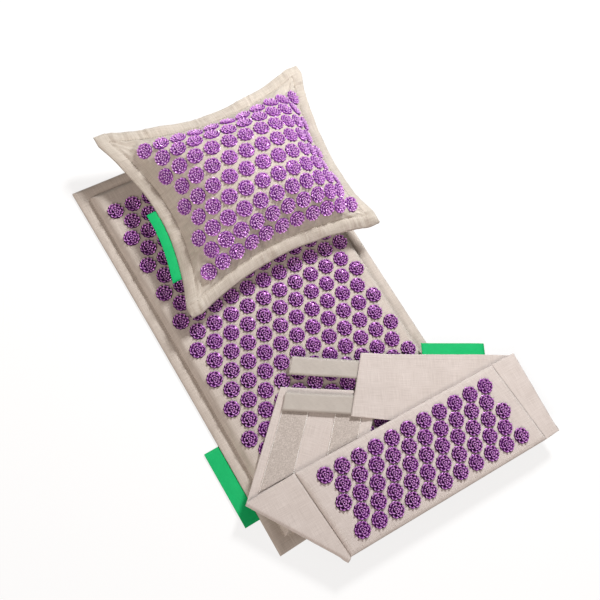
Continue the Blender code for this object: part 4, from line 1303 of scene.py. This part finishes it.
def tailPiece(name, side, fold, end, rise, node):
    # out from the panel's end, round the fold, and back below the panel to the tail's own end
    startX = side * (beltHalfX + belt["seam"])
    butt = [Vector((startX - belt["skew"] * y, y, 0)) for y in (beltHalfY, -beltHalfY)]
    along = (fold[0] - fold[1]).normalized()
    outward = Vector((along.y, -along.x, 0)) * side
    shares = [inset * mm / belt["tailWidth"] for inset in belt["tailEdge"]]
    shares = shares + [0.12 + 0.76 * k / 22 for k in range(23)] + [1 - share for share in reversed(shares)]
    rows, flat = [], []

    def addRow(a, b, shape, direction):
        rows.append([shape(a.lerp(b, w), w) for w in shares])
        for w in shares:
            p = a.lerp(b, w)
            flat.append((p.x * direction.x + p.y * direction.y, p.y * direction.x - p.x * direction.y))

    def upper(near):
        def shape(p, w):
            hem = hemHeight(min(w, 1 - w) * belt["tailWidth"]) * near
            crease = sum(height * ripple(p.x, p.y, wave, seed) for height, wave, seed in belt["creases"])
            meet = belt["seamRise"] * (1 - smooth(near * 3))
            return Vector((p.x, p.y, level["flap"] + hem + crease * smooth(near * 2) + meet))

        return shape

    straight = Vector((1, 0, 0))
    for k in range(belt["upperSteps"]):
        share = k / belt["upperSteps"]
        addRow(butt[0].lerp(fold[0], share), butt[1].lerp(fold[1], share), upper(share), straight)

    def turning(angle):
        c, s = math.cos(angle), math.sin(angle)
        centre = (level["flap"] + level["tail"]) / 2

        def shape(p, w):
            height, wavelength = belt["foldWrinkle"]
            wrinkle = height * ripple(w * belt["tailWidth"], 0.0, wavelength, 33.0) * s
            bulge, start, width = belt["foldRoll"]
            out = (belt["foldRadius"] + wrinkle + bulge * smooth((w - start) / width) * s) * s
            z = centre + belt["foldRadius"] * c + (upper(1.0)(p, w).z - level["flap"]) * (0.5 + 0.5 * c)
            return Vector((p.x, p.y, z)) + outward * out

        return shape

    turned = (end[0] - fold[0]).normalized()
    for k in range(belt["foldSteps"] + 1):
        share = k / belt["foldSteps"]
        addRow(fold[0], fold[1], turning(math.pi * share), turned if share > 0.5 else straight)

    length = (end[0] - fold[0]).length

    def lower(share):
        bend = smooth((share - belt["liftFrom"]) / (1 - belt["liftFrom"])) if rise else 0.0
        start, width = belt["hemStart"]

        def shape(p, w):
            hem = max(hemHeight(min(w, 1 - w) * belt["tailWidth"]), hemHeight((1 - share) * length), 0.0)
            free = smooth((abs(p.y) - beltHalfY - start) / width)
            return Vector((p.x, p.y, level["tail"] + rise * bend + beltWave(p.x, p.y) + hem * free))

        return shape

    count = round(length / belt["lowerStep"])
    for share in sorted({*[k / count for k in range(1, count + 1)], *belt["endShares"]}):
        addRow(fold[0].lerp(end[0], share), fold[1].lerp(end[1], share), lower(share), turned)

    for a, b in zip(rows, rows[1:]):
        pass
    rows = [[beltMove(p) for p in row] for row in rows]
    obj = stripPiece(name, rows, beltLinen, belt["tailThick"], 0.0, flat)
    fit(obj, "belt", node)


def slabRows(corners, top, acrossStep, alongStep, height=None):
    # rows of points over a four-cornered strip, first and last corner on one side of it
    near, nearOther, farOther, far = corners
    count = max(2, round((far - near).length / alongStep))
    wide = max(2, round((nearOther - near).length / acrossStep))
    rows = []
    for k in range(count + 1):
        a, b = near.lerp(far, k / count), nearOther.lerp(farOther, k / count)
        row = []
        for i in range(wide + 1):
            p = a.lerp(b, i / wide)
            extra = height(p) if height else 0.0
            row.append(beltMove((p.x, p.y, top + beltWave(p.x, p.y) + extra)))
        rows.append(row)
    return rows


def makeBeltPanel():
    lines = crossLines(beltHalfX, beltHalfY, belt["grid"], belt["frontStep"])
    top = gridPiece("belt_front_cloth", lines, beltTopPlace, beltLinen)
    fit(top, "belt", "belt_front_panel")
    lines = crossLines(beltHalfX, beltHalfY, belt["grid"], belt["liningStep"])
    lining = gridPiece("belt_lining_cloth", lines, beltUnderPlace, beltLinen, 1.0)
    fit(lining, "belt", "belt_lining")
    pad = closedPiece(
        "belt_wadding",
        crossLines(beltHalfX - belt["padInset"], beltHalfY - belt["padInset"], *belt["padGrid"]),
        lambda s, t: beltTopPlace(s, t, cloth + gap),
        lambda s, t: beltUnderPlace(s, t, cloth + gap),
        wadding,
    )
    fit(pad, "belt", "belt_pad")
    centres = staggered(belt["columns"], belt["rows"], beltRowStep)
    rosettePiece("belt_rosettes", centres, beltTopPlace, "belt", violetPlastic)
    hem = rimPath(beltTopPlace, beltHalfX, beltHalfY, belt["stitchInset"], 8 * mm)
    stitchRow("belt_panel_stitches", hem, "belt", "belt_linen", *belt["panelStitch"])


def makeLoopStrips(fold, end):
    # two fleecy strips on the left tail, each with a row of stitches along both sides
    def pile(p):
        depth, spacing = belt["pile"]
        return -depth * (0.5 + 0.5 * ripple(p.x, p.y, spacing, 41.0))

    step = belt["pileStep"]
    for name, band in belt["loopBands"].items():
        near, far = [], []
        for share in band:
            start, stop = fold[0].lerp(fold[1], share), end[0].lerp(end[1], share)
            near.append(start.lerp(stop, (beltHalfY + belt["butt"] - start.y) / (stop.y - start.y)))
            far.append(start.lerp(stop, belt["loopEnd"]))
        rows = slabRows((near[0], near[1], far[1], far[0]), level["loopTop"], step, step, pile)
        for side, i in (("near", 0), ("far", -1)):
            path = [(row[i] + Vector((0, 0, 0.1 * mm)), Vector((0, 0, 1))) for row in rows]
            title = f"belt_loop_{name}_{side}_stitches"
            stitchRow(title, path, "belt", "belt_linen", *belt["loopStitch"], whiteThread)
        strip = stripPiece(f"belt_loop_tape_{name}", rows, loopPile, tapeThick, -1.0)
        fit(strip, "belt", f"belt_loop_strip_{name}")


def makeBeltLabel(fold, end):
    edge = (end[0] - fold[0]).normalized()
    outward = Vector((edge.y, -edge.x, 0))
    low, high = belt["label"]

    def ribbonPlace(along, share):
        p = fold[0].lerp(end[0], low + (high - low) * along)
        q = p + outward * (gap + share * belt["labelWidth"])
        lift = belt["labelLift"] * smooth(share * 1.5) * (0.5 + 0.5 * math.sin(5.5 * along))
        return beltMove((q.x, q.y, level["tail"] + beltWave(p.x, p.y) + lift))

    labelPiece("belt_label_ribbon", 22, ribbonPlace, "belt", "belt_label")


def makeBeltTails():
    fold = [beltPoint(shares) for shares in belt["leftFold"]]
    end = [beltPoint(shares) for shares in belt["leftEnd"]]
    longer = [b + (b - a).normalized() * belt["leftLonger"] for a, b in zip(fold, end)]
    tailPiece("belt_left_tail_cloth", -1, fold, longer, 0.0, "belt_left_tail")
    makeLoopStrips(fold, end)
    fold = [beltPoint(shares) for shares in belt["rightFold"]]
    end = [beltPoint(shares) for shares in belt["rightEnd"]]
    tailPiece("belt_right_tail_cloth", 1, fold, end, level["end"] - level["tail"], "belt_right_tail")
    makeBeltLabel(fold, end)
    return end


def makeStraps(end):
    along = (end[0] - end[1]).normalized()
    outward = Vector((-along.y, along.x, 0))
    reach = beltPoint(belt["strapReach"])
    forward = reach.normalized()
    for name, shares in belt["strapRoots"].items():
        roots = [end[0].lerp(end[1], share) + outward * belt["butt"] for share in shares]
        corners = (roots[0], roots[1], roots[1] + reach, roots[0] + reach)
        rows = slabRows(corners, level["strapTop"], 5 * mm, 3 * mm)
        strap = stripPiece(f"belt_{name}_strap_tape", rows, greyTape, belt["strapThick"], -1.0)
        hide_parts(f"belt_{name}_strap")
        middle = (roots[0] + roots[1]) / 2
        bend = [middle, middle + forward * belt["strapBend"]]
        start, stop = (tuple(beltMove((p.x, p.y, level["strapTop"]))) for p in bend)
        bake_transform(strap)
        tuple(start)
        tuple(stop)

        roots = [end[0].lerp(end[1], share) + outward * belt["butt"] for share in belt["patchRoots"][name]]
        inner = [roots[0] - along * belt["hookInset"], roots[1] + along * belt["hookInset"]]
        near = [p + forward * belt["hookRoot"] for p in inner]
        far = [p + reach - forward * belt["hookInset"] for p in inner]
        rows = slabRows((near[0], near[1], far[1], far[0]), level["hookTop"], 4 * mm, 3 * mm)
        patch = stripPiece(f"belt_{name}_hook_tape", rows, hookTape, tapeThick, -1.0)
        fit(patch, f"{name}_strap", f"belt_{name}_hook_patch")


makeBeltPanel()
makeStraps(makeBeltTails())
print("belt made")


# Stage: white floor, near softbox on the right at the head end, low light from the left front, even fill

stage = {
    "floorSize": 12.0,
    "floorDrop": 0.2 * mm,  # the floor lies this far below the mat
    "floorGlow": 0.76,
    "floorFade": (0.8, 2.0),  # metres from the middle, where the paper goes plain white
    "fill": 0.18,
    "fillColour": "#FFF2EA",
    # the softbox: watts, metres across, place, where it points
    "key": (38, 0.40, (1.15, 0.80, 1.40), (0.05, 0.0, 0.02)),
    # the low light: strength, degrees across, direction that it shines from, colour
    "side": (1.5, 24, (-0.85, -0.45, 0.75), "#FFF2EA"),
    "cameraPlace": (-0.5161, -0.3185, 1.4542),
    "cameraTurn": (20.93, -12.04, -31.87),  # degrees
    "lens": 54,
}


def makeFloor():
    half, z = stage["floorSize"] / 2, -stage["floorDrop"]
    corners = [(-half, -half, z), (half, -half, z), (half, half, z), (-half, half, z)]
    newPiece("floor", corners, [(0, 1, 2, 3)], makeFloorPaint(), [c[:2] for c in corners])


def seenBy(tree, other):
    # 1 for the camera's rays and one other kind, 0 for the rays that light the set
    rays = tree.nodes.new("ShaderNodeLightPath").outputs
    return addNode(tree, "ShaderNodeMath", {0: rays["Is Camera Ray"], 1: rays[other]}, operation="MAXIMUM")


def makeFloorPaint():
    # Matt white paint that glows to the eye, so that it looks white and the set's shadow on it is pale
    values = {"Roughness": 0.9, "Specular IOR Level": 0.0, "Emission Color": (1, 1, 1, 1)}
    material, tree, shader = newMaterial("floor matt white painted", **values)
    seen = seenBy(tree, "Is Glossy Ray")
    paint = toneColour(tree, seen, 0.0, 1.0, linear("#A8A8A8"), linear("#8C8C8C"))
    place = addNode(tree, "ShaderNodeTexCoord", output="Object")
    away = addNode(tree, "ShaderNodeVectorMath", {0: place}, "Value", operation="LENGTH")
    low, high = stage["floorFade"]
    white = addNode(tree, "ShaderNodeMapRange", {0: away, 1: low, 2: high, 3: stage["floorGlow"], 4: 1.0})
    glow = addNode(tree, "ShaderNodeMath", {0: seen, 1: white}, operation="MULTIPLY")
    tree.links.new(paint, shader.inputs["Base Color"])
    tree.links.new(glow, shader.inputs["Emission Strength"])
    return material


def makeLight():
    world = bpy.data.worlds.new("studio")
    bpy.context.scene.world = world
    world.use_nodes = True
    tree = world.node_tree
    background = tree.nodes["Background"]
    seen = seenBy(tree, "Is Transmission Ray")
    strength = addNode(tree, "ShaderNodeMapRange", {0: seen, 3: stage["fill"], 4: 1.0})
    tint = toneColour(tree, seen, 0.0, 1.0, linear(stage["fillColour"]), (1, 1, 1, 1))
    tree.links.new(tint, background.inputs["Color"])
    tree.links.new(strength, background.inputs["Strength"])

    watts, across, place, target = stage["key"]
    key = bpy.data.lights.new("key softbox", "AREA")
    key.energy = watts
    key.shape = "DISK"
    key.size = across
    hangLight(key, Vector(place) - Vector(target)).location = place

    strength, width, shinesFrom, colour = stage["side"]
    side = bpy.data.lights.new("side softbox", "SUN")
    side.energy = strength
    side.angle = math.radians(width)
    side.color = linear(colour)[:3]
    hangLight(side, Vector(shinesFrom))


def hangLight(lamp, shinesFrom):
    holder = bpy.data.objects.new(lamp.name, lamp)
    holder.rotation_euler = shinesFrom.to_track_quat("Z", "Y").to_euler()
    bpy.context.scene.collection.objects.link(holder)
    return holder


def makeCamera():
    camera = bpy.data.objects.new("camera", bpy.data.cameras.new("camera"))
    camera.data.lens = stage["lens"]
    camera.location = stage["cameraPlace"]
    camera.rotation_euler = Euler([math.radians(a) for a in stage["cameraTurn"]])
    bpy.context.scene.collection.objects.link(camera)
    bpy.context.scene.camera = camera


makeFloor()
makeLight()
makeCamera()
bpy.context.scene.view_settings.view_transform = "Standard"
print("stage made")
